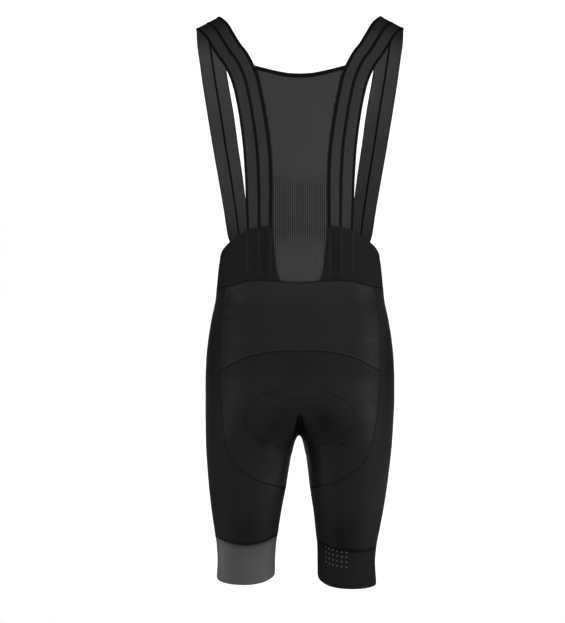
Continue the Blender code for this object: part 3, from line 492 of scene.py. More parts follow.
def middle_line(front, top):
    """The skin's middle line from a height down to the crotch, behind for front -1 and in front for 1."""
    z = CROTCH + (top - CROTCH) * np.linspace(1, 0, LINE_POINTS) ** 3
    y = depth(0 * z, z, front)
    y[-1] = 0.0
    return np.stack([0 * z, y, z], axis=1)


def patch(top, bottom, left, right):
    """A net between four seams; top and bottom run left to right, the sides run down."""
    a = np.linspace(0, 1, len(top))[None, :, None]
    b = np.linspace(0, 1, len(left))[:, None, None]
    rows = (1 - b) * top[None] + b * bottom[None]
    columns = (1 - a) * left[:, None] + a * right[:, None]
    ends = (1 - b) * ((1 - a) * top[0] + a * top[-1]) + b * ((1 - a) * bottom[0] + a * bottom[-1])
    return rows + columns - ends


def relaxed(net, rounds=RELAX_ROUNDS):
    """The net with its inner points spread evenly over the skin."""
    net = net.copy()
    for number in range(rounds):
        evened = (net[:-2, 1:-1] + net[2:, 1:-1] + net[1:-1, :-2] + net[1:-1, 2:]) / 4
        net[1:-1, 1:-1] = settled(evened, rounds=4 if number == rounds - 1 else 1)
    return net


def spread(net, down, across):
    """The net with `down` rows and `across` columns for each one, flowing through its points."""
    rows, cols = net.shape[:2]
    at = np.linspace(0, rows - 1, (rows - 1) * down + 1)
    net = flowing(net.reshape(rows, -1), at).reshape(-1, cols, 3).transpose(1, 0, 2)
    at = np.linspace(0, cols - 1, (cols - 1) * across + 1)
    return flowing(net.reshape(cols, -1), at).reshape(len(at), -1, 3).transpose(1, 0, 2)


def sewn_net(edges, fine):
    """A fine net between the four seams that edges(k) gives with k points for each coarse one."""
    coarse = relaxed(patch(*edges(1)))
    net = spread(coarse, fine, fine)
    top, bottom, left, right = edges(fine)
    net = net + patch(top - net[0], bottom - net[-1], left - net[:, 0], right - net[:, -1])
    return relaxed(net, fine)


def mirrored(net):
    """The same net on the other side of x = 0, its columns in the opposite order."""
    return net[:, ::-1] * (-1, 1, 1)


def placed(points, side=RIGHT):
    """Points of the right half moved to their side, with the lean of the legs."""
    hang = np.clip((LEAN_FROM - points[..., 2]) / (LEAN_FROM - LEAN_TO), 0, 1)
    out = points * (side, 1, 1)
    out[..., 0] += LEAN * hang
    return out


# ---------------------------------------------------------------- seams that pieces share
def waist_seam(k=1):
    """The waist seam from centre back to centre front, in three stretches joined up."""
    corner, side = behind(np.array([BAND_EDGE[-1], SIDE_SEAM[0]]))[:, 0]
    share = np.concatenate(
        [
            np.linspace(0, corner, ACROSS_MESH * k + 1),
            np.linspace(corner, side, ACROSS_BACK * k + 1)[1:],
            np.linspace(side, 1, ROUND_FRONT * k + 1)[1:],
        ]
    )
    return np.stack([share, through(column(WAIST_SEAM, 0), column(WAIST_SEAM, 1), share)], axis=1)


def side_seam(k=1):
    """The side seam from the waist past the seat's top seam to its lower end."""
    upper = trace(SIDE_SEAM, DOWN_BACK * k, 0, SIDE_AT_SEAT_TOP)
    lower = trace(SIDE_SEAM, (DOWN_SEAT + DOWN_INSEAM) * k, SIDE_AT_SEAT_TOP)
    places = behind(np.concatenate([upper, lower[1:]]))
    places[0] = waist_seam(k)[BACK_HALF * k]
    return places


def middle(front, top, rows_above, k=1):
    """Centre back or front from a seam down to the crotch, then the inseam to the leg seam."""
    line = middle_line(front, top)
    above = along(line, np.linspace(0, walked(line)[-1], rows_above * k + 1))
    below = skin(0.0, np.linspace(CROTCH, UNDER_SEAT[0][1], DOWN_INSEAM * k + 1)[1:])
    return np.concatenate([above, below])


def seat_top(k=1):
    """The seat's upper seam, from centre back to the side seam."""
    return behind(trace(SEAT_TOP, BACK_HALF * k))


def under_seat(k=1):
    """The seat's lower seam, from the inseam to the side seam's lower end."""
    places = behind(trace(UNDER_SEAT, BACK_HALF * k))
    places[0] = (0, UNDER_SEAT[0][1])
    return places


def round_thigh(k=1):
    """From the side seam's lower end round the front of the thigh to the inseam."""
    start = under_seat()[-1]
    share = np.linspace(start[0], 1, ROUND_FRONT * k + 1)
    places = np.concatenate([[start], np.array(ROUND_THIGH)])
    return np.stack([share, through(places[:, 0], places[:, 1], share)], axis=1)


def leg_end(side, hem, k=1):
    """The cuff seam, or the hem, of one leg."""
    share = np.concatenate(
        [np.linspace(0, HALF_TURN, BACK_HALF * k + 1), np.linspace(HALF_TURN, 1, ROUND_FRONT * k + 1)[1:]]
    )
    which = (1 if side == LEFT else 3) + hem
    return np.stack([share, through(column(LEG_END, 0), column(LEG_END, which), share)], axis=1)


def band_edge(k=1):
    """The waist panel's edge beside the knitted back panel, down to the waist seam."""
    places = behind(trace(BAND_EDGE, DOWN_BAND * k))
    places[-1] = waist_seam(k)[ACROSS_MESH * k]
    return places


# ---------------------------------------------------------------- creases and what shows through
def crease_line(side, face, points):
    """A crease's line on the skin, where the legs hang."""
    x, z = column(points, 0), column(points, 1)
    at = np.linspace(0, len(points) - 1, CREASE_POINTS)
    line = flowing(np.stack([x, depth(x, z, face), z], axis=1), at)
    return placed(settled(line), side)


def bell(away, width):
    """A soft bump: 1 at 0, and nearly 0 at twice the width."""
    return np.exp(-((away / width) ** 2))


def ridge(points, line, width, height, ends=(0.35, 0.5)):
    """How far a soft ridge along a line lifts these points; ends are the shares where it fades in and out."""
    lift = np.zeros(len(points))
    reach = 3 * width
    near = np.flatnonzero(np.all((points > line.min(0) - reach) & (points < line.max(0) + reach), axis=1))
    if not len(near):
        return lift
    away = np.linalg.norm(points[near, None] - line[None], axis=2)
    share = away.argmin(axis=1) / (len(line) - 1)
    fade = smooth(share / ends[0]) * smooth((1 - share) / ends[1])
    lift[near] = height * fade * bell(away.min(axis=1), width)
    return lift


def strap_end_lines():
    """The lines of the ribs on the straps' ends, as they press through the waist panel."""
    lines = []
    for table, sign in ((STRAP_BACK_END, -1), (STRAP_FRONT_END, 1)):
        z = column(table, 0)
        for share in RIB_MARK_SHARES:
            x = column(table, 1) * (1 - share) + column(table, 2) * share
            line = np.stack([x, depth(x, z, sign), z], axis=1)
            line = flowing(line, np.linspace(0, len(z) - 1, RIB_POINTS))
            lines += [line * (side, 1, 1) for side in (LEFT, RIGHT)]
    return lines


class Relief:
    """What lifts or lowers the shorts' cloth off the plain skin: creases, rib ends and the pad's edge."""

    def __init__(self, crease_depth):
        self.creases = [
            (crease_line(side, face, points), width, height * crease_depth)
            for side, face, width, height, points in CREASES
        ]
        self.ribs = [(line, RIB_MARK_WIDTH, RIB_MARK, RIB_MARK_FADE) for line in strap_end_lines()]
        edge = placed(settled(pad_net(4, 3)[1]))
        self.pad_edge = evenly(np.concatenate([edge, edge[:1]]), PAD_EDGE_STEP)
        self.pad_tree = tree_of(self.pad_edge)
        off_edge = unit(np.cross(np.gradient(self.pad_edge, axis=0), outward(self.pad_edge)))
        from_middle = self.pad_edge - self.pad_edge.mean(axis=0)
        self.pad_out = off_edge * math.copysign(1, (from_middle * off_edge).sum())

    def lift(self, points):
        """How far these points stand off the skin."""
        lift = sum(ridge(points, *line) for line in self.creases + self.ribs)
        near = (points[:, 2] < PAD_FROM + PAD_REACH_UP) & (points[:, 2] > PAD_FROM - PAD_REACH_DOWN)
        for i in np.flatnonzero(near):
            _, found, away = self.pad_tree.find(points[i])
            past = (points[i] - self.pad_edge[found]) @ self.pad_out[found]
            past = math.copysign(min(abs(past), away), past)
            lift[i] += PAD_MARK * float(smooth(0.5 - past / PAD_MARK_WIDTH))
            lift[i] -= PAD_GROOVE * bell(away, PAD_GROOVE_WIDTH)
        return lift

    def tone(self, points):
        """The painted light and shade on the cloth: how much darker, or paler, than its dye it is drawn."""
        # painted highlights along the straps' ribs under the waist panel
        pale = sum(ridge(points, line, width, RIB_PAINTED_HIGHLIGHT, ends) for line, width, _, ends in self.ribs)
        return worn(points) - pale


@functools.cache
def relief_with(crease_depth):
    """The relief with creases of this depth, made once."""
    return Relief(crease_depth)


def relief():
    """The cloth's relief, with the creases as deep as they are set."""
    return relief_with(sizes().crease_depth)


def tree_of(points):
    """A search tree of these points."""
    tree = KDTree(len(points))
    for number, point in enumerate(points):
        tree.insert(point, number)
    tree.balance()
    return tree


# ---------------------------------------------------------------- sheets
def quads(index, closed=False):
    """The faces between a grid's points; closed joins its last column to its first."""
    if closed:
        index = np.concatenate([index, index[:, :1]], axis=1)
    corners = (index[:-1, :-1], index[:-1, 1:], index[1:, 1:], index[1:, :-1])
    return np.stack(corners, axis=-1).reshape(-1, 4).tolist()


def walled(outside, inside, faces, edges):
    """A closed wall: both faces of a net, and the strip that joins them along its open edges."""
    count = len(outside)
    back = [[i + count for i in face[::-1]] for face in faces]
    strip = [[b, a, a + count, b + count] for a, b, _ in edges]
    return np.concatenate([outside, inside]), faces + back + strip


def closed_net(outside, inside):
    """A closed wall between two nets of the same size."""
    points, faces = welded([outside])
    return walled(points, welded([inside])[0], faces, rim(faces))


def welded(nets):
    """The points and four-sided faces of some nets, joined where their points coincide."""
    points, faces, seen = [], [], {}
    for net in nets:
        index = np.zeros(net.shape[:2], int)
        keys = np.round(net / 1e-6).astype(int)
        for row, col in np.ndindex(*net.shape[:2]):
            key = tuple(keys[row, col])
            if key not in seen:
                seen[key] = len(points)
                points.append(net[row, col])
            index[row, col] = seen[key]
        faces += quads(index)
    return np.array(points), faces


def rim(faces):
    """The open edges of a net, each with the face that it belongs to."""
    used = {}
    for number, face in enumerate(faces):
        for a, b in zip(face, face[1:] + face[:1]):
            key = (a, b) if a < b else (b, a)
            if key in used:
                used[key] = None
            else:
                used[key] = (a, b, number)
    return [owner for owner in used.values() if owner]


def drawn_in(points, faces, edges, gap):
    """The net with its open edges moved in along its own surface by `gap`."""
    inward = {}
    for a, b, number in edges:
        way = points[b] - points[a]
        way = way / np.linalg.norm(way)
        into = points[faces[number]].mean(axis=0) - (points[a] + points[b]) / 2
        into = into - way * (into @ way)
        into = into / np.linalg.norm(into)
        inward.setdefault(a, []).append(into)
        inward.setdefault(b, []).append(into)
    moved = points.copy()
    for number, ways in inward.items():
        if len(ways) == 2:
            share = FLAT_LAP if quiet_seam(points[number]) else 1
            moved[number] += share * gap * (ways[0] + ways[1]) / max(1 + ways[0] @ ways[1], SHARPEST)
    return moved


def quiet_seam(points):
    """Whether these points lie by the flat seam down the middle of the seat."""
    x, y, z = np.moveaxis(points, -1, 0)
    return (np.abs(x) < FLAT_SEAM_HALF) & (y < 0) & (z < SEAT_TOP[0][1] + 0.001)


def edge_distance(points, edges):
    """How far each point lies from the net's open edges."""
    ends = np.array([(a, b) for a, b, _ in edges])
    share = np.linspace(0, 1, 4, endpoint=False)[:, None, None]
    marks = (points[ends[:, 0]] * (1 - share) + points[ends[:, 1]] * share).reshape(-1, 3)
    tree = tree_of(marks)
    return np.array([tree.find(point)[2] for point in points])


def cloth_places(points):
    """How far round the leg or trunk, and how far down, each point lies: the knit's own directions; the third
    part is the painted shade in the fold over the crotch.
    """
    z = points[:, 2]
    centre, half, back, front, _, _ = section(z)
    from_pole = np.arctan2(points[:, 0] - pole(z), -points[:, 1])
    girth = (half + np.abs(centre) + (back + front) / 2) / 2
    return np.stack([from_pole * girth, -z, FOLD_PAINTED_SHADE * folded_in(points)], axis=1)


def folded_in(points):
    """How far the cloth is folded in between the buttocks over the crotch: 1 inside the fold, where its
    painted shade goes.
    """
    x, y, z = points.T
    down = (FOLD_FROM - z) / (FOLD_FROM - CROTCH)
    half = FOLD_HALF * np.clip(down, 0, FOLD_REACH) ** FOLD_POINT
    across = smooth((half + FOLD_SOFT - np.abs(x)) / FOLD_SOFT)
    return across * smooth(down / FOLD_START) * smooth((FOLD_FRONT - y) / FOLD_FRONT_SOFT)


def folded_by(points):
    """How far, and which way, the fold over the crotch takes these points."""
    x, y, z = points.T
    down = np.clip((FOLD_FROM - z) / (FOLD_FROM - CROTCH), 0, FOLD_REACH)
    half = FOLD_HALF * down**FOLD_POINT + FOLD_SOFT
    deep = FOLD_DEPTH * np.clip(1 - np.abs(x) / half, 0, 1)
    deep = deep * smooth(down / 0.5) * smooth(-y / FOLD_FRONT_SOFT)
    return deep[:, None] * (0, 1, 0)


def worn(points):
    """How much painted shade, or below 0 how much painted light, the worn shorts have at these points of the
    back.
    """
    x, y, z = points.T
    tone = np.zeros(len(points))
    for at_x, at_z, wide, high, lean, amount in PAINTED_LIGHT_AND_SHADE_SPOTS:
        across, up = (x - at_x - lean * (z - at_z)) / wide, (z - at_z) / high
        tone += amount * np.exp(-(across**2) - up**2)
    return tone * smooth(PAINTED_SPOTS_POINT - y / PAINTED_SPOTS_TO)


def piece(name, points, faces, materials, which=None, places=None):
    """One named piece from points and faces, riding on the part's one body."""
    mesh = bpy.data.meshes.new(name)
    mesh.from_pydata(np.asarray(points, float).tolist(), [], [tuple(int(i) for i in f) for f in faces])
    shape = bmesh.new()
    shape.from_mesh(mesh)
    bmesh.ops.recalc_face_normals(shape, faces=shape.faces)
    shape.to_mesh(mesh)
    shape.free()
    mesh.shade_smooth()
    mesh.set_sharp_from_angle(angle=SHARP_ANGLE)
    for material in materials:
        mesh.materials.append(material)
    if which is not None:
        mesh.polygons.foreach_set("material_index", np.asarray(which, np.int32))
    if places is not None:
        kept = mesh.attributes.new(CLOTH_PLACES, "FLOAT_VECTOR", "POINT")
        kept.data.foreach_set("vector", np.asarray(places, np.float32).ravel())
    made = bpy.data.objects.new(name, mesh)
    bpy.context.collection.objects.link(made)
    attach(made, "root")
    return made


def panel(name, nets, cloth, side=RIGHT):
    """A sewn panel: nets on the skin, drawn in at the seams, rolled at its edges and creased."""
    points, faces = welded(nets)
    edges = rim(faces)
    away = edge_distance(points, edges)
    points = drawn_in(points, faces, edges, SEAM / 2 + SEAM_SPARE)
    way = outward(points) * (side, 1, 1)
    places = cloth_places(points)
    points = placed(points, side)
    edge = WELT * bell(away - WELT_FROM, WELT_WIDTH) - ROLL * bell(away, ROLL_WIDTH)
    lift = relief().lift(points) + edge * np.where(quiet_seam(points), QUIET_SEAM, 1)
    # painted shade along the cuff seams
    hem = HEM_PAINTED_SHADE * bell(away, HEM_WIDTH) * (np.abs(points[:, 2] - HEM_FROM) < HEM_REACH)
    # the relief's tone adds the painted light and shade of the spots and the ribs
    places[:, 2] = np.clip(places[:, 2] + relief().tone(points) + hem, PALEST, FOLD_PAINTED_SHADE)
    outside = points + way * lift[:, None] + folded_by(points)
    points, faces = walled(outside, outside - way * CLOTH, faces, edges)
    made = piece(name, points, faces, [cloth], None, np.tile(places, (2, 1)))
    for polygon in made.data.polygons[-len(edges) :]:
        polygon.use_smooth = False
    return made


def declared(node):
    """Hides the imported solid that a piece of cloth replaces."""
    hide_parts(node)


# ---------------------------------------------------------------- threads
def thread_tube(path, ways, thickness, sides=4):
    """Points and faces of a thread along a path; ways point off the cloth."""
    along_path = unit(np.gradient(path, axis=0))
    across = unit(np.cross(along_path, ways))
    up = np.cross(across, along_path)
    turn = np.arange(sides) * 2 * math.pi / sides + math.pi / sides
    ring = path[:, None] + thickness / 2 * (
        across[:, None] * np.cos(turn)[None, :, None] + up[:, None] * np.sin(turn)[None, :, None]
    )
    index = np.arange(len(path) * sides).reshape(len(path), sides)
    return ring.reshape(-1, 3), quads(index, closed=True) + [index[0].tolist(), index[-1][::-1].tolist()]


def zigzag(line, ways, pitch, width, lift, thickness):
    """A covering thread that swings from side to side over a seam."""
    way = walked(line)
    count = max(2, round(way[-1] / pitch))
    at = np.linspace(0, way[-1], count * 4 + 1)
    path = along(line, at)
    up = unit(read(ways, way, at))
    across = unit(np.cross(unit(np.gradient(path, axis=0)), up))
    swing = np.tile([0.0, 1.0, 0.0, -1.0], count + 1)[: len(at)]
    arch = lift + thickness * THREAD_ARCH * (1 - np.abs(swing))
    return thread_tube(path + across * (swing * width / 2)[:, None] + up * arch[:, None], up, thickness)


def gathered(parts):
    """Several (points, faces) joined into one."""
    points, faces, count = [], [], 0
    for some, their in parts:
        points.append(some)
        faces += [[i + count for i in face] for face in their]
        count += len(some)
    return np.concatenate(points), faces


def seam_on_cloth(places, side=RIGHT):
    """A seam's line on the worn cloth and the way off it, from its places or points on the skin."""
    points = on_skin(places) if places.shape[1] == 2 else places
    points = evenly(points, SEAM_STEP)
    points = settled(points, rounds=2)
    way = outward(points) * (side, 1, 1)
    points = placed(points, side)
    return points + way * relief().lift(points)[:, None], way


def garment_seams():
    """Every sewn seam of the shorts: a line on the cloth and the way off it."""
    k = SEAM_FINE
    seams = []
    for side in (LEFT, RIGHT):
        seams += [
            (waist_seam(k), side),
            (seat_top(k), side),
            (side_seam(k), side),
            (under_seat(k), side),
            (leg_end(side, False, k), side),
            (band_edge(k), side),
            (skin(0.0, np.linspace(CROTCH, UNDER_SEAT[0][1], INSEAM_POINTS)), side),
        ]
    seams.append((middle(-1, SEAT_TOP[0][1], DOWN_SEAT, k)[: DOWN_SEAT * k + 1], RIGHT))
    rows = DOWN_BACK + DOWN_SEAT
    seams.append((middle(1, WAIST_SEAM[-2][1], rows, k)[: rows * k + 1], RIGHT))
    return [seam_on_cloth(places, side) for places, side in seams]


# ---------------------------------------------------------------- straps, back panel and binding
def strap_stations():
    """Both edges of the right strap at every station, from its back end to its front end."""
    sunk = CLOTH + LAP + RIB
    ends = []
    for table, sign in ((STRAP_BACK_END, -1), (STRAP_FRONT_END, 1)):
        z = column(table, 0)
        edges = []
        for index in (1, 2):
            x = column(table, index)
            on = np.stack([x, depth(x, z, sign), z], axis=1)
            edges.append(on - outward(on) * sunk)
        ends.append(np.concatenate(edges, axis=1))
    return np.concatenate([ends[0], np.array(STRAP_FREE), ends[1]])


def strap_rows(step):
    """The strap's cross rows about `step` apart, and those that its free stretch and the binding start at."""
    stations = strap_stations()
    first, last = len(STRAP_BACK_END) - 1, len(stations) - 1
    fine = np.linspace(0, last, PATH_POINTS)
    path = flowing(stations, fine)
    rising = slice(0, int(path[:, 5].argmax()))
    marks = [np.interp(NECK_SIDE - drop, path[rising, 5], fine[rising]) for drop in (BINDING_HEIGHT, 0)]
    way = walked(path.reshape(-1, 2, 3).mean(axis=1))
    keys, rows = [np.zeros(1)], [0]
    for a, b in zip((0, first, *marks), (first, *marks, last)):
        from_way, to_way = np.interp((a, b), fine, way)
        count = max(2, round((to_way - from_way) / step))
        keys.append(np.interp(np.linspace(from_way, to_way, count + 1)[1:], way, fine))
        rows.append(rows[-1] + count)
    return flowing(stations, np.concatenate(keys)), rows[1:4]


def rib_rise(share):
    """How high the strap stands at this share of its width: 1 on a rib, 0 on a band."""
    rise = np.zeros_like(share)
    for start, end in RIBS:
        across = np.abs(2 * (share - start) / (end - start) - 1)
        rise = np.maximum(rise, np.where(across < 1, np.maximum(1 - across**4, 0) ** 0.5, 0))
    return rise


def strap_shares():
    """Where the strap's lengthwise lines of points lie across it, closer on its ribs."""
    marks = [0.0]
    ends = [end for rib in RIBS for end in rib][1:]
    for number, end in enumerate(ends):
        count = RIB_LINES if number % 2 == 0 else BAND_LINES
        t = np.linspace(0, 1, count + 1)[1:]
        start = marks[-1]
        eased = (1 - np.cos(math.pi * t)) / 2 if number % 2 == 0 else t
        marks += list(start + (end - start) * eased)
    return np.array(marks)


def off_strap(rows):
    """The line that the back panel is sewn to: a little inside the strap's inner edge."""
    return rows[:, 3:] - unit(rows[:, 3:] - rows[:, :3]) * STRAP_TUCK


def back_net(side_points, drops, count):
    """A net between the right strap's edge and its mirror image, each row sagging by its drop."""
    share = np.linspace(1, -1, count + 1)
    dip = through(column(NECKLINE, 0), column(NECKLINE, 1), np.abs(share))
    net = np.zeros((len(side_points), len(share), 3))
    net[..., 0] = side_points[:, None, 0] * share
    net[..., 1] = side_points[:, None, 1] - MESH_BOW * (1 - share**2)
    net[..., 2] = side_points[:, None, 2] - dip * np.asarray(drops)[:, None]
    return net


def net_normals(net):
    """The outward direction of a net whose rows go down and columns go towards -x."""
    return unit(np.cross(np.gradient(net, axis=1), np.gradient(net, axis=0)))


def knitted_back_net(across):
    """The whole back panel from the binding down to the waist seam."""
    rows, (first, low, _) = strap_rows(KNIT_STEP)
    side_points = off_strap(rows)[first : low + 1][::-1]
    upper = back_net(side_points, np.linspace(1, 0, len(side_points)), across)
    k = across // (2 * ACROSS_MESH)
    edge = band_edge(2)[2:]
    share = np.linspace(1, -1, across + 1)
    tuck = PANEL_TUCK * smooth((np.arange(len(edge)) + 1.5) / 3)[:, None]
    lower = skin((edge[:, :1] + tuck) * np.abs(share), edge[:, 1:] + 0 * share)
    seam = waist_seam(k)[: ACROSS_MESH * k + 1][::-1]
    lower[-1, : ACROSS_MESH * k + 1] = on_skin(seam)
    lower[-1, ACROSS_MESH * k :] = on_skin(seam[::-1])
    lower[..., 0] *= np.sign(share) + (share == 0)
    lower -= outward(lower) * (CLOTH + SEAM)
    lower[-1, :, 2] += SEAM
    return spread(np.concatenate([upper, lower]), KNIT_FINE, 1)


# ---------------------------------------------------------------- the seat pad
def pad_net(down, across):
    """The pad's outer face as a net, its edge as a closed line, and its shares along and across."""
    at = np.linspace(0, PAD[-1][0], 16 * down + 1)
    half = through(column(PAD, 0), column(PAD, 1), at)
    lift = through(column(PAD, 0), column(PAD, 2), at)
    deep = CLOTH + PAD_LAP
    line = np.concatenate([middle_line(-1, PAD_FROM), middle_line(1, PAD_FROM)[-2::-1]])
    place = settled(along(line, at), deep + lift)
    heading = np.tile([1.0, 0, 0], (len(at), 1))
    columns, shares = [place], [0.0]
    for last, share in zip((0.0,) + PAD_COLUMNS, PAD_COLUMNS):
        steps = max(PAD_STRIDES, across)
        for number in range(steps):
            way = outward(place)
            heading = unit(heading - way * (heading * way).sum(axis=1, keepdims=True))
            reached = last + (share - last) * (number + 1) / steps
            stride = half * (share - last) / steps
            place = settled(place + heading * stride[:, None], deep + lift * (1 - PAD_SETTLE * reached**2))
            if (number + 1) % (steps // across) == 0:
                columns.append(place)
                shares.append(reached)
    right = np.stack(columns, axis=1)
    net = np.concatenate([mirrored(right)[:, :-1], right], axis=1)
    edge = np.concatenate([right[:, -1], right[::-1, -1] * (-1, 1, 1)])
    across_share = np.array([-s for s in shares[:0:-1]] + shares)
    return net, edge, at / at[-1], across_share


# ---------------------------------------------------------------- sizes and colours
def linear(colour):
    """An sRGB hex colour as linear light."""
    levels = [int(colour[i : i + 2], 16) / 255 for i in (0, 2, 4)]
    return tuple(((c + 0.055) / 1.055) ** 2.4 if c > 0.04045 else c / 12.92 for c in levels)


def length(name, description, default):
    """A length in metres."""
    return FloatProperty(
        name=name, description=description, default=default, unit="LENGTH", precision=5, min=0
    )


def amount(name, description):
    """A strength that is 1 as the shorts are made."""
    return FloatProperty(name=name, description=description, default=1.0, min=0)


def colour(name, description, value):
    """A colour, given as sRGB hex."""
    return FloatVectorProperty(
        name=name, description=description, default=linear(value), subtype="COLOR", min=0, max=1
    )


class BibSizes(bpy.types.PropertyGroup):
    """Sizes of what is sewn on the cloth."""

    thread: length("Thread", "Thickness of the sewing thread", 0.00040)
    seam_pitch: length("Seam pitch", "Length of one swing of a seam's covering thread", 0.0021)
    seam_width: length("Seam width", "Width of a seam's covering thread", 0.0028)
    pad_pitch: length("Pad stitch pitch", "Length of one swing of the stitch round the pad", 0.0037)
    pad_width: length("Pad stitch width", "Width of the zigzag stitch round the pad", 0.0080)
    wale: length("Mesh wale", "Distance between two cords of the knitted back panel", 0.0034)
    dot: length("Grip dot", "Diameter of a dot on the black cuff", 0.0030)
    dot_pitch: length("Dot pitch", "Distance between two dots", 0.0080)
    crease_depth: amount("Crease depth", "How strong the creases are")


class BibColours(bpy.types.PropertyGroup):
    """Colours of the shorts' cloths and threads."""

    glossy: colour("Glossy knit", "Upper back panel", "18181A")
    seat: colour("Seat knit", "Seat panels", "181819")
    matt: colour("Matt knit", "Waist panel", "1C1C1E")
    leg: colour("Leg knit", "Side and leg panels", "19191A")
    grey: colour("Grey knit", "Left cuff", "474747")
    black: colour("Grip knit", "Right cuff", "1A1A1B")
    band: colour("Strap band", "Bands of the straps", "313132")
    # the lining is paler partly for its nap and partly as painted light on the shaded inner side
    lining: colour("Strap lining", "Inner side of the straps' bands", "3D3D3E")
    rib: colour("Strap rib", "Smooth ribs of the straps", "0E0E0F")
    cord: colour("Mesh cord", "Cords of the knitted back panel", "414142")
    # the ground's dark colour is partly painted shade for the real knit's open holes
    ground: colour("Mesh ground", "Ground of the knitted back panel", "2D2D2E")
    binding: colour("Binding", "Neckline binding", "0F0F10")
    thread: colour("Thread", "Sewing thread", "17171A")
    pad: colour("Pad", "Face of the seat pad", "2E2E31")
    dot: colour("Dots", "Grip dots on the black cuff", "454547")


class BibLight(bpy.types.PropertyGroup):
    """The stage round the shorts."""

    floor: length("Floor drop", "How far the floor lies under the shoulders", 1.60)
    power: amount("Light", "Strength of the studio's lamps")


# ---------------------------------------------------------------- materials
# A loop's width, length and depth. Real loops of these knits are 0.4 to 0.7 mm wide, too fine to show, so
# they are drawn about twice as coarse.
FINE_LOOP = (0.0011, 0.0013, 0.00006)
LEG_LOOP = (0.0012, 0.0014, 0.00008)
GREY_LOOP = (0.0017, 0.0015, 0.00012)
BLACK_LOOP = (0.0017, 0.0015, 0.00010)
WEBBING_LOOP = (0.0016, 0.0022, 0.00014)
GROUND_LOOP = (0.0011, 0.0011, 0.00010)
PAD_LOOP = (0.0016, 0.0016, 0.00010)
# Knits: colour, roughness, loop, and how much they have of sheen, of light and dark between loops, of gloss
# and of mixed pale fibres
KNITS = {
    # pressed between hot rollers: flat loops, which give a broad soft shine along each curve
    "polyamide warp knit, calendered": ("glossy", 0.44, FINE_LOOP, 0.004, 0.14, 0.17),
    # set by heat alone: the same loops stand a little higher and shine less
    "polyamide warp knit, heat set": ("seat", 0.46, FINE_LOOP, 0.006, 0.14, 0.10),
    # brushed: raised fibre ends scatter the light, so it stays even and matt
    "polyamide warp knit, brushed": ("matt", 0.75, LEG_LOOP, 0.006, 0.20),
    # stretched round the legs: dull yarn with a faint shine where it turns from the light
    "elastane warp knit, matt": ("leg", 0.50, LEG_LOOP, 0.012, 0.18, 0.06),
    # dark and pale fibres spun together: a fine speckle of greys
    "melange elastic knit": ("grey", 0.80, GREY_LOOP, 0.050, 0.25, 0.00, 0.35),
    # dyed after knitting: one even black, with the thicker loops of an elastic
    "elastic knit, piece dyed": ("black", 0.70, BLACK_LOOP, 0.008, 0.20),
    # knitted on a narrow loom: long dull loops in columns
    "knitted elastic webbing": ("band", 0.85, WEBBING_LOOP, 0.010, 0.35),
    # the same, brushed on the inside: paler for its nap, and paler still as painted light for the inner side,
    # which lies in shade
    "knitted elastic webbing, brushed inside, painted paler": ("lining", 0.85, WEBBING_LOOP, 0.010, 0.35),
    # knitted with open loops: dull, and darker than the cords on it, since light falls through; the closed
    # ground is drawn darker as painted shade for the holes
    "open polyester knit, ground": ("ground", 0.85, GROUND_LOOP, 0.010, 0.30),
    # foam under a brushed face: a soft nap that pales at the edges
    "foam, faced with brushed knit": ("pad", 0.90, PAD_LOOP, 0.080, 0.20),
}
# Dense fibres: colour, roughness, sheen, grains in each metre, their depth, gloss. A grain stands for a
# filament or fleck thinner than 0.1 mm, which would be too fine to show, so the grains are drawn coarser.
FIBRES = {
    # rubber wound with filament: a smooth black cord with a thin line of light
    "covered elastic rib": ("rib", 0.50, 0.004, 1200.0, 0.00008, 0.04),
    # bulky textured yarn: no shine at all
    "open polyester knit, cords": ("cord", 0.85, 0.010, 1400.0, 0.00010, 0.00),
    # woven filament, folded hot: nearly black, with a dim edge
    "binding tape, folded": ("binding", 0.50, 0.004, 1300.0, 0.00008, 0.03),
    # twisted filament: small even flecks
    "polyester thread, twisted": ("thread", 0.55, 0.004, 2500.0, 0.00003, 0.00),
    # crimped filament: as fine, and dull
    "polyester thread, textured": ("rib", 0.80, 0.000, 2500.0, 0.00003, 0.00),
    # printed through a screen: soft, smooth and slightly grainy
    "silicone, screen printed": ("dot", 0.55, 0.000, 600.0, 0.00003, 0.00),
}
CLOUDS = {"Scale": 14.0, "Detail": 3.0, "Roughness": 0.55}  # slow unevenness of the dye
# flecks of yarn: real yarn is about 0.1 mm thick, too fine to show, so it is drawn about ten times as coarse
FLECKS = {"Scale": 900.0, "Detail": 2.0, "Roughness": 0.6}
LOOP_BEND = 1.6  # how far a row of loops bows between two columns
LOOP_WAVE, LOOP_BASE = 0.3, 0.5  # how much of a loop's height its own row makes, and its column
CLOUD_TONE, CLOUD_ROUGH = 0.22, 0.12  # how much the clouds change a knit's tone and roughness
FLECK_TONE, FLECK_HEIGHT = 0.20, 0.35  # how much the flecks change its tone and its relief
FIBRE_IOR, SHEEN_SPREAD = 1.53, 0.45


def fill(tree, node, values):
    """Sets a node's sockets, by order or by name; a value that is another node's output is linked."""
    for key, value in values.items() if isinstance(values, dict) else enumerate(values):
        if isinstance(value, bpy.types.NodeSocket):
            tree.links.new(value, node.inputs[key])
        else:
            node.inputs[key].default_value = value


def add(tree, kind, values=(), **settings):
    """Adds a node with its settings and sockets, and returns its outputs."""
    node = tree.nodes.new("ShaderNode" + kind)
    for name, value in settings.items():
        setattr(node, name, value)
    fill(tree, node, values)
    return node.outputs


def finish(name):
    """The cloth or fibre of this name, made from its row when it is first asked for."""
    made = bpy.data.materials.get(name)
    if made is None:
        made = bpy.data.materials.new(name)
        made.use_nodes = True
        if name in KNITS:
            knitted(made.node_tree, *KNITS[name])
        else:
            smooth_fibre(made.node_tree, *FIBRES[name])
    return made


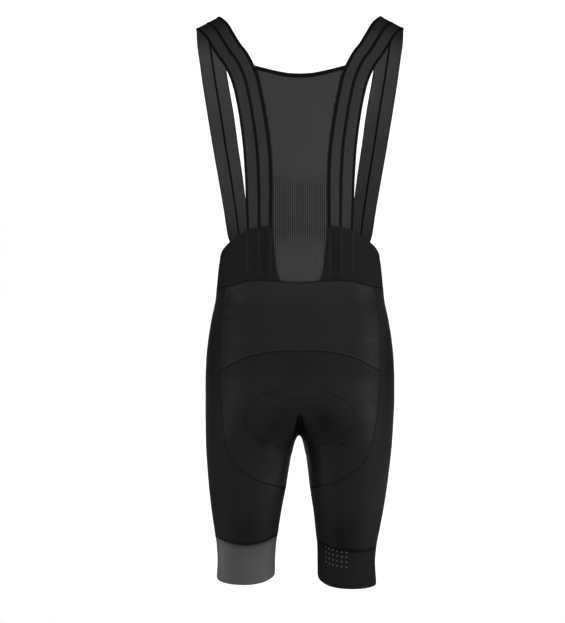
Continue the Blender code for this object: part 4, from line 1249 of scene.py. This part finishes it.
def shaded(tree, colour, level, bump, rough, coat_rough, sheen, gloss):
    """Joins a cloth's tint and relief to its surface, which shines only through its coat."""
    shade = getattr(bpy.context.scene.bib_colours, colour)
    tint = add(tree, "VectorMath", {0: shade, "Scale": level}, operation="SCALE")[0]
    surface = tree.nodes["Principled BSDF"]
    values = {"Base Color": tint, "Normal": bump, "Roughness": rough, "IOR": FIBRE_IOR}
    values |= {"Specular IOR Level": 0.0, "Coat Weight": gloss, "Coat Roughness": coat_rough}
    fill(tree, surface, values | {"Sheen Weight": sheen})
    return surface


def knitted(tree, colour, rough, loop, sheen, tone, gloss=0.0, melange=0.0):
    """Warp-knitted cloth: rows of loops, in slightly uneven tones, with a soft nap."""
    wale, course, deep = loop
    place = add(tree, "Attribute", attribute_name=CLOTH_PLACES)["Vector"]
    # the third part, shade, is the painted shade, or below 0 the painted light
    x, y, shade = add(tree, "SeparateXYZ", (place,))
    where = add(tree, "TexCoord")["Object"]
    cloud = add(tree, "TexNoise", {"Vector": where, **CLOUDS})[0]
    fleck = add(tree, "TexNoise", {"Vector": where, **FLECKS})[0]
    # the loops: columns of ridges, and rows that bow between them
    around = add(tree, "Math", (x, math.pi / wale), operation="MULTIPLY")[0]
    around = add(tree, "Math", (around,), operation="SINE")[0]
    column_height = add(tree, "Math", (around,), operation="ABSOLUTE")[0]
    bend = add(tree, "Math", (column_height, LOOP_BEND), operation="MULTIPLY")[0]
    down = add(tree, "Math", (y, 2 * math.pi / course), operation="MULTIPLY")[0]
    down = add(tree, "Math", (down, bend), operation="ADD")[0]
    down = add(tree, "Math", (down,), operation="SINE")[0]
    row_height = add(tree, "Math", (down, LOOP_WAVE, LOOP_BASE), operation="MULTIPLY_ADD")[0]
    loops = add(tree, "Math", (column_height, row_height), operation="MULTIPLY")[0]
    # the tone: paler on the loops, uneven in clouds and flecks, then darker by the painted shade or paler by
    # the painted light in the attribute
    level = add(tree, "Math", (loops, tone, 1 - 0.55 * tone), operation="MULTIPLY_ADD")[0]
    values = (cloud, CLOUD_TONE, 1 - CLOUD_TONE / 2)
    soft = add(tree, "Math", values, operation="MULTIPLY_ADD")[0]
    values = (fleck, FLECK_TONE + melange, 1 - (FLECK_TONE + melange) / 2)
    speck = add(tree, "Math", values, operation="MULTIPLY_ADD")[0]
    level = add(tree, "Math", (level, soft), operation="MULTIPLY")[0]
    level = add(tree, "Math", (level, speck), operation="MULTIPLY")[0]
    # eased here is 1 less the painted shade, and above 1 where light is painted
    eased = add(tree, "Math", (1.0, shade), operation="SUBTRACT")[0]
    level = add(tree, "Math", (level, eased), operation="MULTIPLY")[0]
    # the surface
    values = (cloud, CLOUD_ROUGH, rough - CLOUD_ROUGH / 2)
    roughness = add(tree, "Math", values, operation="MULTIPLY_ADD")[0]
    height = add(tree, "Math", (fleck, FLECK_HEIGHT, loops), operation="MULTIPLY_ADD")[0]
    bump = add(tree, "Bump", {"Strength": 1.0, "Distance": deep, "Height": height})[0]
    surface = shaded(tree, colour, level, bump, roughness, rough, sheen, gloss)
    fill(tree, surface, {"Coat Normal": bump, "Sheen Roughness": SHEEN_SPREAD})


def smooth_fibre(tree, colour, rough, sheen, grain, deep, gloss):
    """Dense smooth fibre, such as covered elastic, thread or binding tape: fine flecks and a soft gloss."""
    where = add(tree, "TexCoord")["Object"]
    fleck = add(tree, "TexNoise", {"Vector": where, "Scale": grain, "Detail": 2.0})[0]
    level = add(tree, "Math", (fleck, 0.5, 0.75), operation="MULTIPLY_ADD")[0]
    bump = add(tree, "Bump", {"Distance": deep, "Height": fleck})[0]
    shaded(tree, colour, level, bump, rough, rough, sheen, gloss)


def white_paper():
    """Matt white paper off a roll: a faint grain and no gloss, so no lamp shows in it."""
    made = bpy.data.materials.new("matt white paper sweep")
    made.use_nodes = True
    tree = made.node_tree
    where = add(tree, "TexCoord")["Object"]
    grain = add(tree, "TexNoise", {"Vector": where, "Scale": 60.0, "Detail": 3.0})[0]
    bump = add(tree, "Bump", {"Strength": 0.2, "Distance": 0.0004, "Height": grain})[0]
    values = {"Base Color": (*linear("F6F6F6"), 1), "Roughness": 0.9, "Normal": bump}
    fill(tree, tree.nodes["Principled BSDF"], values)
    return made


# ---------------------------------------------------------------- the pieces
class BIB_OT_upper_back(bpy.types.Operator):
    """Sews the glossy upper back panel"""

    bl_idname = "bib.upper_back"
    bl_label = "Upper Back Panel"
    bl_options = {"REGISTER", "UNDO"}

    def execute(self, context):
        k = BACK_FINE
        top, bottom = waist_seam(k)[: BACK_HALF * k + 1], seat_top(k)
        centre = np.linspace(top[0], bottom[0], DOWN_BACK * k + 1)
        half = on_skin(patch(top, bottom, centre, side_seam(k)[: DOWN_BACK * k + 1]))
        cloth = finish("polyamide warp knit, calendered")
        made = panel("upper_back_cloth", [half, mirrored(half)], cloth)
        declared("upper_back")
        return {"FINISHED"}


class BIB_OT_seat(bpy.types.Operator):
    """Sews both rounded seat panels"""

    bl_idname = "bib.seat"
    bl_label = "Seat Panels"
    bl_options = {"REGISTER", "UNDO"}

    def edges(self, k):
        """The seat's four seams."""
        top, bottom = on_skin(seat_top(k)), on_skin(under_seat(k))
        centre = middle(-1, SEAT_TOP[0][1], DOWN_SEAT, k)
        return top, bottom, centre, on_skin(side_seam(k)[DOWN_BACK * k :])

    def execute(self, context):
        net = sewn_net(self.edges, BACK_FINE)
        for side, word in SIDES.items():
            made = panel(f"seat_{word}_cloth", [net], finish("polyamide warp knit, heat set"), side)
            declared(f"seat_{word}")
        return {"FINISHED"}


class BIB_OT_legs(bpy.types.Operator):
    """Sews both leg panels: side, front and lower leg"""

    bl_idname = "bib.legs"
    bl_label = "Leg Panels"
    bl_options = {"REGISTER", "UNDO"}

    def edges(self, k):
        """The four seams round a leg panel's side and front."""
        waist, thigh = waist_seam(k)[BACK_HALF * k :], round_thigh(k)
        centre = middle(1, waist[-1][1], DOWN_BACK + DOWN_SEAT, k)
        return on_skin(waist), on_skin(thigh), on_skin(side_seam(k)), centre

    def execute(self, context):
        k = LEG_FINE
        front = sewn_net(self.edges, k)
        top = np.concatenate([under_seat(k), round_thigh(k)[1:]])
        for side, word in SIDES.items():
            bottom = leg_end(side, False, k)
            inner = np.linspace(top[0], bottom[0], DOWN_LEG * k + 1)
            tube = on_skin(patch(top, bottom, inner, inner + (1, 0)))
            made = panel(f"leg_{word}_cloth", [front, tube], finish("elastane warp knit, matt"), side)
            declared(f"leg_{word}")
        return {"FINISHED"}


DOTS_ACROSS, DOTS_DOWN = 6, 4
DOT_FROM, DOT_DROP = 0.0467, 0.0030  # x of the first dot, and how far under the cuff's seam the top row is
DOT_SEAM_FINE, DOT_SEAM_STEP = 12, 0.0005  # how finely the seam that the dots follow is drawn
DOT_RINGS = ((1.0, -0.0004), (1.0, 0.0001), (0.88, 0.00035), (0.55, 0.00052))  # share of the radius, height
DOT_TOP, DOT_FOOT, DOT_SIDES = 0.00058, -0.0004, 12  # heights of its crown and its foot, and its sides


class BIB_OT_cuffs(bpy.types.Operator):
    """Sews both cuffs and sets the dots on the black one"""

    bl_idname = "bib.cuffs"
    bl_label = "Cuffs"
    bl_options = {"REGISTER", "UNDO"}

    def execute(self, context):
        cloths = {
            LEFT: ("melange elastic knit", "grey_knit"),
            RIGHT: ("elastic knit, piece dyed", "grip_knit"),
        }
        for side, word in SIDES.items():
            top, bottom = leg_end(side, False, CUFF_FINE), leg_end(side, True, CUFF_FINE)
            inner = np.linspace(top[0], bottom[0], DOWN_CUFF * CUFF_FINE + 1)
            net = on_skin(patch(top, bottom, inner, inner + (1, 0)))
            cloth, slot_name = cloths[side]
            made = panel(f"cuff_{word}_cloth", [net], finish(cloth), side)
            declared(f"cuff_{word}")
        self.dots()
        return {"FINISHED"}

    def dots(self):
        """A grid of small raised dots on the back of the right cuff, its rows along the cuff's seam."""
        seam = leg_end(RIGHT, False, DOT_SEAM_FINE)[: BACK_HALF * DOT_SEAM_FINE]
        seam = evenly(on_skin(seam), DOT_SEAM_STEP)
        start = int(np.abs(seam[:, 0] - DOT_FROM).argmin())
        step = sizes().dot_pitch
        parts = []
        for col in range(DOTS_ACROSS):
            at = seam[start + round(col * step / DOT_SEAM_STEP)]
            for row in range(DOTS_DOWN):
                centre = settled((at - (0, 0, DOT_DROP + row * step))[None])[0]
                parts.append(self.dome(centre, outward(centre[None])[0], sizes().dot / 2))
        points, faces = gathered(parts)
        made = piece("cuff_dots", placed(points), faces, [finish("silicone, screen printed")])

    def dome(self, centre, way, radius):
        """A flat dome pressed on the cloth."""
        side = unit(np.cross(way, (0.0, 0.0, 1.0)))
        up = np.cross(side, way)
        turn = np.linspace(0, 2 * math.pi, DOT_SIDES, endpoint=False)
        ring = np.cos(turn)[:, None] * side + np.sin(turn)[:, None] * up
        points = [centre + ring * radius * share + way * height for share, height in DOT_RINGS]
        points += [(centre + way * DOT_TOP)[None], (centre + way * DOT_FOOT)[None]]
        index = np.arange(len(DOT_RINGS) * DOT_SIDES).reshape(-1, DOT_SIDES)
        ahead = np.roll(index, -1, axis=1)
        faces = quads(index, closed=True)
        faces += [[int(a), int(b), index.size] for a, b in zip(index[-1], ahead[-1])]
        faces += [[int(b), int(a), index.size + 1] for a, b in zip(index[0], ahead[0])]
        return np.concatenate(points), faces


class BIB_OT_waist(bpy.types.Operator):
    """Sews the matt waist panel, from one edge of the back panel round the front to the other"""

    bl_idname = "bib.waist"
    bl_label = "Waist Panel"
    bl_options = {"REGISTER", "UNDO"}

    def execute(self, context):
        k = BAND_FINE
        bottom, edge = waist_seam(k)[ACROSS_MESH * k :], band_edge(k)
        share = 1 - (1 - bottom[:, 0]) * (1 - edge[0, 0]) / (1 - bottom[0, 0])
        top = np.stack([share, through(column(BAND_TOP, 0), column(BAND_TOP, 1), share)], axis=1)
        edge[0] = top[0]
        half = on_skin(patch(top, bottom, edge, np.linspace(top[-1], bottom[-1], DOWN_BAND * k + 1)))
        cloth = finish("polyamide warp knit, brushed")
        made = panel("waist_panel_cloth", [half, mirrored(half)], cloth)
        declared("waist_panel")
        return {"FINISHED"}


STRAP_STEP, STRAP_QUICK_STEP = 0.0035, 0.008  # how far apart the straps' cross rows lie
STRAP_ROUND = 0.0007  # how far in from its edge a strap rounds off
RIB_INSIDE = 0.6  # how far a rib stands out on the inner side, beside the outer one
SHOULDER_FROM, SHOULDER_OVER = -0.045, 0.042  # the height where the straps' painted shade starts, and over how much
RIBBED = 0.02  # from this share of its height on a rib shows as one
STRAP_FINISHES = (
    "knitted elastic webbing",
    "covered elastic rib",
    "knitted elastic webbing, brushed inside, painted paler",
)


class BIB_OT_straps(bpy.types.Operator):
    """Makes both ribbed elastic straps"""

    bl_idname = "bib.straps"
    bl_label = "Straps"
    bl_options = {"REGISTER", "UNDO"}

    def execute(self, context):
        rows, _ = strap_rows(STRAP_STEP)
        outer, inner = rows[:, :3], rows[:, 3:]
        across = inner - outer
        up = unit(np.cross(np.gradient((outer + inner) / 2, axis=0), across))
        width = np.linalg.norm(across, axis=1).mean()
        share = strap_shares()
        rise = rib_rise(share)
        round_off = 1 - np.sqrt(np.clip(np.minimum(share, 1 - share) * width / STRAP_ROUND, 0, 1))

        def side_of(height):
            height = height * (1 - round_off) - STRAP_WALL / 2 * round_off
            flat = outer[:, None] + across[:, None] * share[None, :, None]
            return flat + up[:, None] * height[None, :, None]

        outside, inside = side_of(RIB * rise), side_of(-STRAP_WALL - RIB * RIB_INSIDE * rise)
        ring = np.concatenate([outside, inside[:, -2:0:-1]], axis=1)
        count, sides = ring.shape[:2]
        index = np.arange(count * sides).reshape(count, sides)
        faces = quads(index, closed=True) + [index[0].tolist(), index[-1][::-1].tolist()]
        way = walked((outer + inner) / 2)
        all_share = np.concatenate([share, share[-2:0:-1]])
        places = np.empty((count, sides, 3))
        places[..., 0] = all_share * width
        places[..., 1] = way[:, None]
        # painted shade where the straps turn over the shoulders
        places[..., 2] = SHOULDER_PAINTED_SHADE * smooth((ring[..., 2] - SHOULDER_FROM) / SHOULDER_OVER)
        finishes = [finish(name) for name in STRAP_FINISHES]
        which = np.append(np.tile(self.finish_at(all_share, len(share)), count - 1), [0, 0])
        for side, word in SIDES.items():
            points = ring.reshape(-1, 3) * (side, 1, 1)
            made = piece(f"strap_{word}_webbing", points, faces, finishes, which, places.reshape(-1, 3))
            declared(f"strap_{word}")
        return {"FINISHED"}

    def finish_at(self, share, front):
        """Which finish each face round a strap has: 0 its band, 1 a rib, 2 the band's inner side."""
        share = (share + np.roll(share, -1)) / 2
        inside = np.arange(len(share)) >= front
        shown = np.any([(share > low) & (share < high) for low, high in RIBS_INSIDE], axis=0)
        ribbed = np.where(inside, shown, rib_rise(share) > RIBBED)
        return np.where(ribbed, 1, np.where(inside, 2, 0))


BACK_COLUMNS = 96  # faces across the knitted back panel and its binding
GROUND_DROP = 0.0004  # how far the back panel's ground lies under its cords
LOW_KNIT_OVER = 0.06  # the height over which the ground turns paler, down from the waist panel's top
CORDS, CORD_WIDTH, CORD_SINK = 20, 0.48, 0.00035  # cords on each side; width in wales; how deep they lie
CORD_FROM_EDGE, CORD_RUN = 0.0014, 3  # how near the panel's edge a cord ends, and the fewest points of one
CORD_SWING, CORD_BEAT = 0.46, 1.15  # how far a cord swings and how long a swing is, in wales
CORD_CORNER = 0.7  # below 1 a cord lingers at the end of each swing
SWING_FROM, SWING_OVER = -0.300, 0.050  # the height from which cords swing, and over how much they start to


class BIB_OT_back_knit(bpy.types.Operator):
    """Knits the back panel: a ground cloth and its raised cords"""

    bl_idname = "bib.back_knit"
    bl_label = "Knitted Back Panel"
    bl_options = {"REGISTER", "UNDO"}

    def execute(self, context):
        net = knitted_back_net(BACK_COLUMNS)
        way = net_normals(net)
        points, faces = closed_net(net - way * GROUND_DROP, net - way * MESH_WALL)
        low = smooth((BAND_EDGE[0][1] - points[:, 2]) / LOW_KNIT_OVER)
        places = np.stack([points[:, 0], -points[:, 2], -LOW_KNIT_PALE * low], axis=1)
        ground = [finish("open polyester knit, ground")]
        made = piece("back_mesh_ground", points, faces, ground, None, places)
        cords = self.cords(net, way)
        declared("back_mesh")
        return {"FINISHED"}

    def cords(self, net, way):
        """Cords that stand side by side low down, and swing to meet each other higher up."""
        wale = sizes().wale
        rows = walked(net[:, net.shape[1] // 2])
        step = wale / 4
        at = np.arange(step / 2, rows[-1] - step / 2, step)
        row = np.interp(at, rows, np.arange(len(rows)))
        low = np.clip(np.floor(row).astype(int), 0, len(rows) - 2)
        part = (row - low)[:, None, None]
        fine = net[low] * (1 - part) + net[low + 1] * part
        ways = unit(way[low] * (1 - part) + way[low + 1] * part)
        half = fine[:, 0, 0] - CORD_FROM_EDGE
        swing = smooth((fine[:, fine.shape[1] // 2, 2] - SWING_FROM) / SWING_OVER) * wale * CORD_SWING
        cols = np.arange(fine.shape[1])
        parts = []
        for number in range(-CORDS, CORDS + 1):
            beat = np.cos(at * 2 * math.pi / (wale * CORD_BEAT) + math.pi * (number % 2))
            x = number * wale + swing * np.sign(beat) * np.abs(beat) ** CORD_CORNER
            where = np.flatnonzero(np.abs(x) < half)
            for run in np.split(where, np.flatnonzero(np.diff(where) > 1) + 1):
                if len(run) < CORD_RUN:
                    continue
                col = np.array([np.interp(x[i], fine[i, ::-1, 0], cols[::-1]) for i in run])
                left = np.clip(np.floor(col).astype(int), 0, fine.shape[1] - 2)
                t = (col - left)[:, None]
                path = fine[run, left] * (1 - t) + fine[run, left + 1] * t
                off = unit(ways[run, left] * (1 - t) + ways[run, left + 1] * t)
                parts.append(thread_tube(path - off * CORD_SINK, off, wale * CORD_WIDTH))
        return piece("back_mesh_cords", *gathered(parts), [finish("open polyester knit, cords")])


BINDING_ROWS, BINDING_FINE = 0.0035, 4  # how far apart its first rows lie, and rows for each of them
BINDING_TURN = 8  # steps round the fold at its top
TAPE = 0.0006  # thickness of the binding tape
TAPE_RISE, TAPE_SINK = 0.9, 0.55  # the fold's height and how far it sits down, in half walls
TAPE_FLAT_FROM = 0.10  # the share of its height from which the tape lies flat


class BIB_OT_binding(bpy.types.Operator):
    """Folds the neckline binding over the back panel's top edge"""

    bl_idname = "bib.binding"
    bl_label = "Neckline Binding"
    bl_options = {"REGISTER", "UNDO"}

    def execute(self, context):
        rows, (_, low, top) = strap_rows(BINDING_ROWS)
        edge = off_strap(rows)[low : top + 1][::-1]
        net = spread(back_net(edge, np.ones(len(edge)), BACK_COLUMNS), BINDING_FINE, 1)
        way = net_normals(net)
        outer = (BINDING_WALL - MESH_WALL) / 2
        height = walked(net[:, BACK_COLUMNS // 2])
        flat = height / height[-1] > TAPE_FLAT_FROM
        upwards = unit(net[0] - net[1])
        turn = np.linspace(0, math.pi, BINDING_TURN + 1)[1:-1]
        loops = []
        for deep in (0.0, TAPE):
            face = net + way * (outer - deep)
            rear = net + way * (outer - BINDING_WALL + deep)
            arm = (face[0] - rear[0]) / 2
            radius = np.linalg.norm(arm, axis=-1, keepdims=True)
            centre = (face[0] + rear[0]) / 2 - upwards * radius * TAPE_SINK
            arc = [centre + arm * math.cos(t) + upwards * radius * TAPE_RISE * math.sin(t) for t in turn]
            loops.append(np.concatenate([face[flat][::-1], np.array(arc), rear[flat]]))
        made = piece("neck_binding_tape", *closed_net(*loops), [finish("binding tape, folded")])
        declared("neck_binding")
        return {"FINISHED"}


PAD_FINE = (6, 3)  # rows and columns for each of the solid's
# Channels pressed in its foam, as shares of its half width and of its length: one on each side, one down
# the middle, and four across
PAD_SIDE_CHANNEL, PAD_SIDE_WIDTH, PAD_SIDE_END = 0.58, 0.045, 0.8
PAD_MIDDLE_WIDTH, PAD_MIDDLE_END, PAD_END_OVER = 0.05, 0.75, 0.2
PAD_CROSSINGS, PAD_CROSS_WIDTH, PAD_CROSS_BOW = (0.22, 0.40, 0.58, 0.76), 0.012, 0.05
PAD_CHANNEL_DEPTH = 0.62  # the share of the foam that a channel takes away
PAD_FLANGE_FROM, PAD_FLANGE_OVER = 0.93, 0.05  # where its flat stitched edge starts, and how softly


class BIB_OT_pad(bpy.types.Operator):
    """Moulds the seat pad with its channels"""

    bl_idname = "bib.pad"
    bl_label = "Seat Pad"
    bl_options = {"REGISTER", "UNDO"}

    def execute(self, context):
        net, _, ends, across = pad_net(*PAD_FINE)
        ends = np.abs(2 * ends - 1)[:, None]
        share = np.abs(across)[None]
        crown = (1 - share**4) * (1 - ends**4)
        rows = np.linspace(0, 1, len(net))[:, None]
        side_one = bell(share - PAD_SIDE_CHANNEL, PAD_SIDE_WIDTH)
        side_one = side_one * smooth((PAD_SIDE_END - ends) / PAD_END_OVER)
        middle_one = bell(share, PAD_MIDDLE_WIDTH) * smooth((PAD_MIDDLE_END - ends) / PAD_END_OVER)
        channel = np.maximum(side_one, middle_one)
        for at in PAD_CROSSINGS:
            cross = bell(rows - at - PAD_CROSS_BOW * share**2, PAD_CROSS_WIDTH)
            channel = np.maximum(channel, cross * smooth((PAD_SIDE_CHANNEL - share) / 0.1))
        flange = smooth((share - PAD_FLANGE_FROM) / PAD_FLANGE_OVER)
        foam = (PAD_WALL - PAD_EDGE) * crown * (1 - PAD_CHANNEL_DEPTH * channel) * (1 - flange)
        way = outward(net)
        net = net + folded_by(net.reshape(-1, 3)).reshape(net.shape)
        points, faces = closed_net(net, net - way * (PAD_EDGE + foam)[..., None])
        cloth, places = [finish("foam, faced with brushed knit")], cloth_places(points)
        made = piece("seat_pad_foam", placed(points), faces, cloth, None, places)
        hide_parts("seat_pad")
        return {"FINISHED"}


SEAM_THREAD_SINK, PAD_THREAD_RISE = -0.0001, 0.0001  # where these threads lie, from the cloth's face
STITCH_RUN = 8  # a shorter run of the pad's stitch is left out


class BIB_OT_stitches(bpy.types.Operator):
    """Sews the seams, and the stitch that holds the pad, in raised thread"""

    bl_idname = "bib.stitches"
    bl_label = "Stitching"
    bl_options = {"REGISTER", "UNDO"}

    def execute(self, context):
        s = sizes()
        parts = []
        for line, way in garment_seams():
            thread = s.thread * (FLAT_THREAD if quiet_seam(line).mean() > 0.5 else 1)
            path = line + folded_by(line)
            parts.append(zigzag(path, way, s.seam_pitch, s.seam_width, SEAM_THREAD_SINK, thread))
        made = piece("seam_stitching", *gathered(parts), [finish("polyester thread, twisted")])
        pad_edge = relief().pad_edge
        shows = np.abs(pad_edge[:, 0]) > PAD_STITCH_FROM
        parts = []
        for run in np.split(np.arange(len(shows)), np.flatnonzero(np.diff(shows)) + 1):
            if shows[run[0]] and len(run) > STITCH_RUN:
                edge = pad_edge[run]
                way = outward(edge)
                at = edge + way * relief().lift(edge)[:, None]
                thread = s.thread * PAD_THREAD
                parts.append(zigzag(at, way, s.pad_pitch, s.pad_width, PAD_THREAD_RISE, thread))
        made = piece("pad_stitching", *gathered(parts), [finish("polyester thread, textured")])
        return {"FINISHED"}


# ---------------------------------------------------------------- the stage
CAMERA, LENS = (0.0, -2.5, -0.481), 87.4  # where it stands, and its lens in millimetres
CAMERA_TURN = 0.658  # degrees to the left, which sets the shorts a little right of the middle
WORLD = 0.10  # how bright the world is
SWEEP_FRONT, SWEEP_BACK, SWEEP_HALF = -6.0, 5.0, 8.0  # where the sweep starts and ends, and its half width
SWEEP_TOP, SWEEP_BEND, SWEEP_POINTS = 5.0, 1.5, 16  # its top, and the radius and points of its bend
LAMPS = (  # name, place, aim, size, watts, how wide it spreads in degrees
    ("right_key", (1.1, -3.1, 0.1), (0, 0, -0.4), (1.3, 1.8), 15.5, 120),
    ("left_key", (-0.9, -3.1, 0.1), (0, 0, -0.4), (1.3, 1.8), 14.5, 120),
    ("right_strip", (2.3, -0.6, -1.15), (0, 0, -0.75), (0.6, 1.2), 12.0, 100),
    ("left_strip", (-2.3, -0.5, -1.1), (0, 0, -0.7), (0.5, 1.2), 5.0, 100),
    ("right_front", (1.0, 3.2, -0.3), (0, 0, -0.5), (0.8, 1.8), 10.0, 100),
    ("left_front", (-1.0, 3.2, -0.3), (0, 0, -0.5), (0.8, 1.8), 10.0, 100),
    ("right_rim", (2.2, -1.1, -0.5), (0, 0, -0.52), (0.5, 0.7), 5.2, 90),
    ("left_rim", (-2.2, -1.3, -0.2), (0, 0, -0.45), (0.5, 0.8), 4.0, 90),
    ("wall_light", (0.0, 2.6, 1.6), (0, 5.0, 0.6), (4.8, 1.0), 77.0, 150),
    ("floor_light", (0.0, 3.0, 1.3), (0, 3.4, -1.6), (4.5, 1.6), 28.0, 100),
)


class BIB_OT_stage(bpy.types.Operator):
    """Sets up the pale floor, the soft lamps and the camera"""

    bl_idname = "bib.stage"
    bl_label = "Stage"
    bl_options = {"REGISTER", "UNDO"}

    def execute(self, context):
        light = context.scene.bib_light
        self.floor(light.floor)
        for lamp in LAMPS:
            self.lamp(*lamp, light.power)
        self.world(context.scene)
        self.camera(context.scene)
        context.scene.view_settings.view_transform = "Standard"
        return {"FINISHED"}

    def linked(self, name, data):
        """A new object in the scene."""
        made = bpy.data.objects.new(name, data)
        bpy.context.collection.objects.link(made)
        return made

    def floor(self, drop):
        """One seamless sweep: a floor that turns up into a wall."""
        turn = np.linspace(0, math.pi / 2, SWEEP_POINTS)
        y, z = SWEEP_BACK - SWEEP_BEND, SWEEP_BEND - drop
        profile = [(y + SWEEP_BEND * math.sin(t), z - SWEEP_BEND * math.cos(t)) for t in turn]
        profile = [(SWEEP_FRONT, -drop), *profile, (SWEEP_BACK, SWEEP_TOP)]
        points = [(x, y, z) for y, z in profile for x in (-SWEEP_HALF, SWEEP_HALF)]
        faces = [[2 * i, 2 * i + 1, 2 * i + 3, 2 * i + 2] for i in range(len(profile) - 1)]
        mesh = bpy.data.meshes.new("sweep")
        mesh.from_pydata(points, [], faces)
        mesh.shade_smooth()
        mesh.materials.append(white_paper())
        self.linked("sweep", mesh)

    def lamp(self, name, place, aim, size, watts, spread_angle, power):
        """A soft lamp that the camera doesn't see."""
        light = bpy.data.lights.new(name, "AREA")
        light.shape, light.size, light.size_y = "RECTANGLE", *size
        light.energy = watts * power
        light.spread = math.radians(spread_angle)
        made = self.linked(name, light)
        made.location = place
        made.rotation_euler = Vector(np.array(aim) - place).to_track_quat("-Z", "Y").to_euler()
        made.visible_camera = False

    def world(self, scene):
        """A dim white world, which fills the shadows."""
        world = bpy.data.worlds.new("studio")
        world.use_nodes = True
        values = {"Color": (1, 1, 1, 1), "Strength": WORLD}
        fill(world.node_tree, world.node_tree.nodes["Background"], values)
        scene.world = world

    def camera(self, scene):
        """A level camera behind the shorts."""
        lens = bpy.data.cameras.new("camera")
        lens.lens = LENS
        made = self.linked("camera", lens)
        made.location = CAMERA
        made.rotation_euler = (math.pi / 2, 0, math.radians(CAMERA_TURN))
        scene.camera = made


# ---------------------------------------------------------------- the add-on
class BIB_PT_panel(bpy.types.Panel):
    """Lists the pieces, their sizes and their colours"""

    bl_label = "Bib Shorts"
    bl_idname = "BIB_PT_panel"
    bl_space_type = "VIEW_3D"
    bl_region_type = "UI"
    bl_category = "Bib Shorts"

    def draw(self, context):
        for group in (context.scene.bib_sizes, context.scene.bib_colours, context.scene.bib_light):
            box = self.layout.box()
            for name in group.bl_rna.properties.keys():
                if name not in ("rna_type", "name"):
                    box.prop(group, name)
        for maker in MAKERS:
            self.layout.operator(maker.bl_idname)


GROUPS = {"bib_sizes": BibSizes, "bib_colours": BibColours, "bib_light": BibLight}
MAKERS = (
    BIB_OT_stage,
    BIB_OT_upper_back,
    BIB_OT_seat,
    BIB_OT_legs,
    BIB_OT_cuffs,
    BIB_OT_waist,
    BIB_OT_straps,
    BIB_OT_back_knit,
    BIB_OT_binding,
    BIB_OT_pad,
    BIB_OT_stitches,
)


def register():
    """Registers the add-on's classes and its settings."""
    for one in (*GROUPS.values(), *MAKERS, BIB_PT_panel):
        bpy.utils.register_class(one)
    for name, group in GROUPS.items():
        setattr(bpy.types.Scene, name, PointerProperty(type=group))


def unregister():
    """Takes the settings and the classes away again."""
    for name in GROUPS:
        delattr(bpy.types.Scene, name)
    for one in reversed((*GROUPS.values(), *MAKERS, BIB_PT_panel)):
        bpy.utils.unregister_class(one)


def main():
    """Makes the stage and every piece."""
    register()
    for maker in MAKERS:
        group, name = maker.bl_idname.split(".")
        getattr(getattr(bpy.ops, group), name)()


if __name__ == "__main__":
    main()
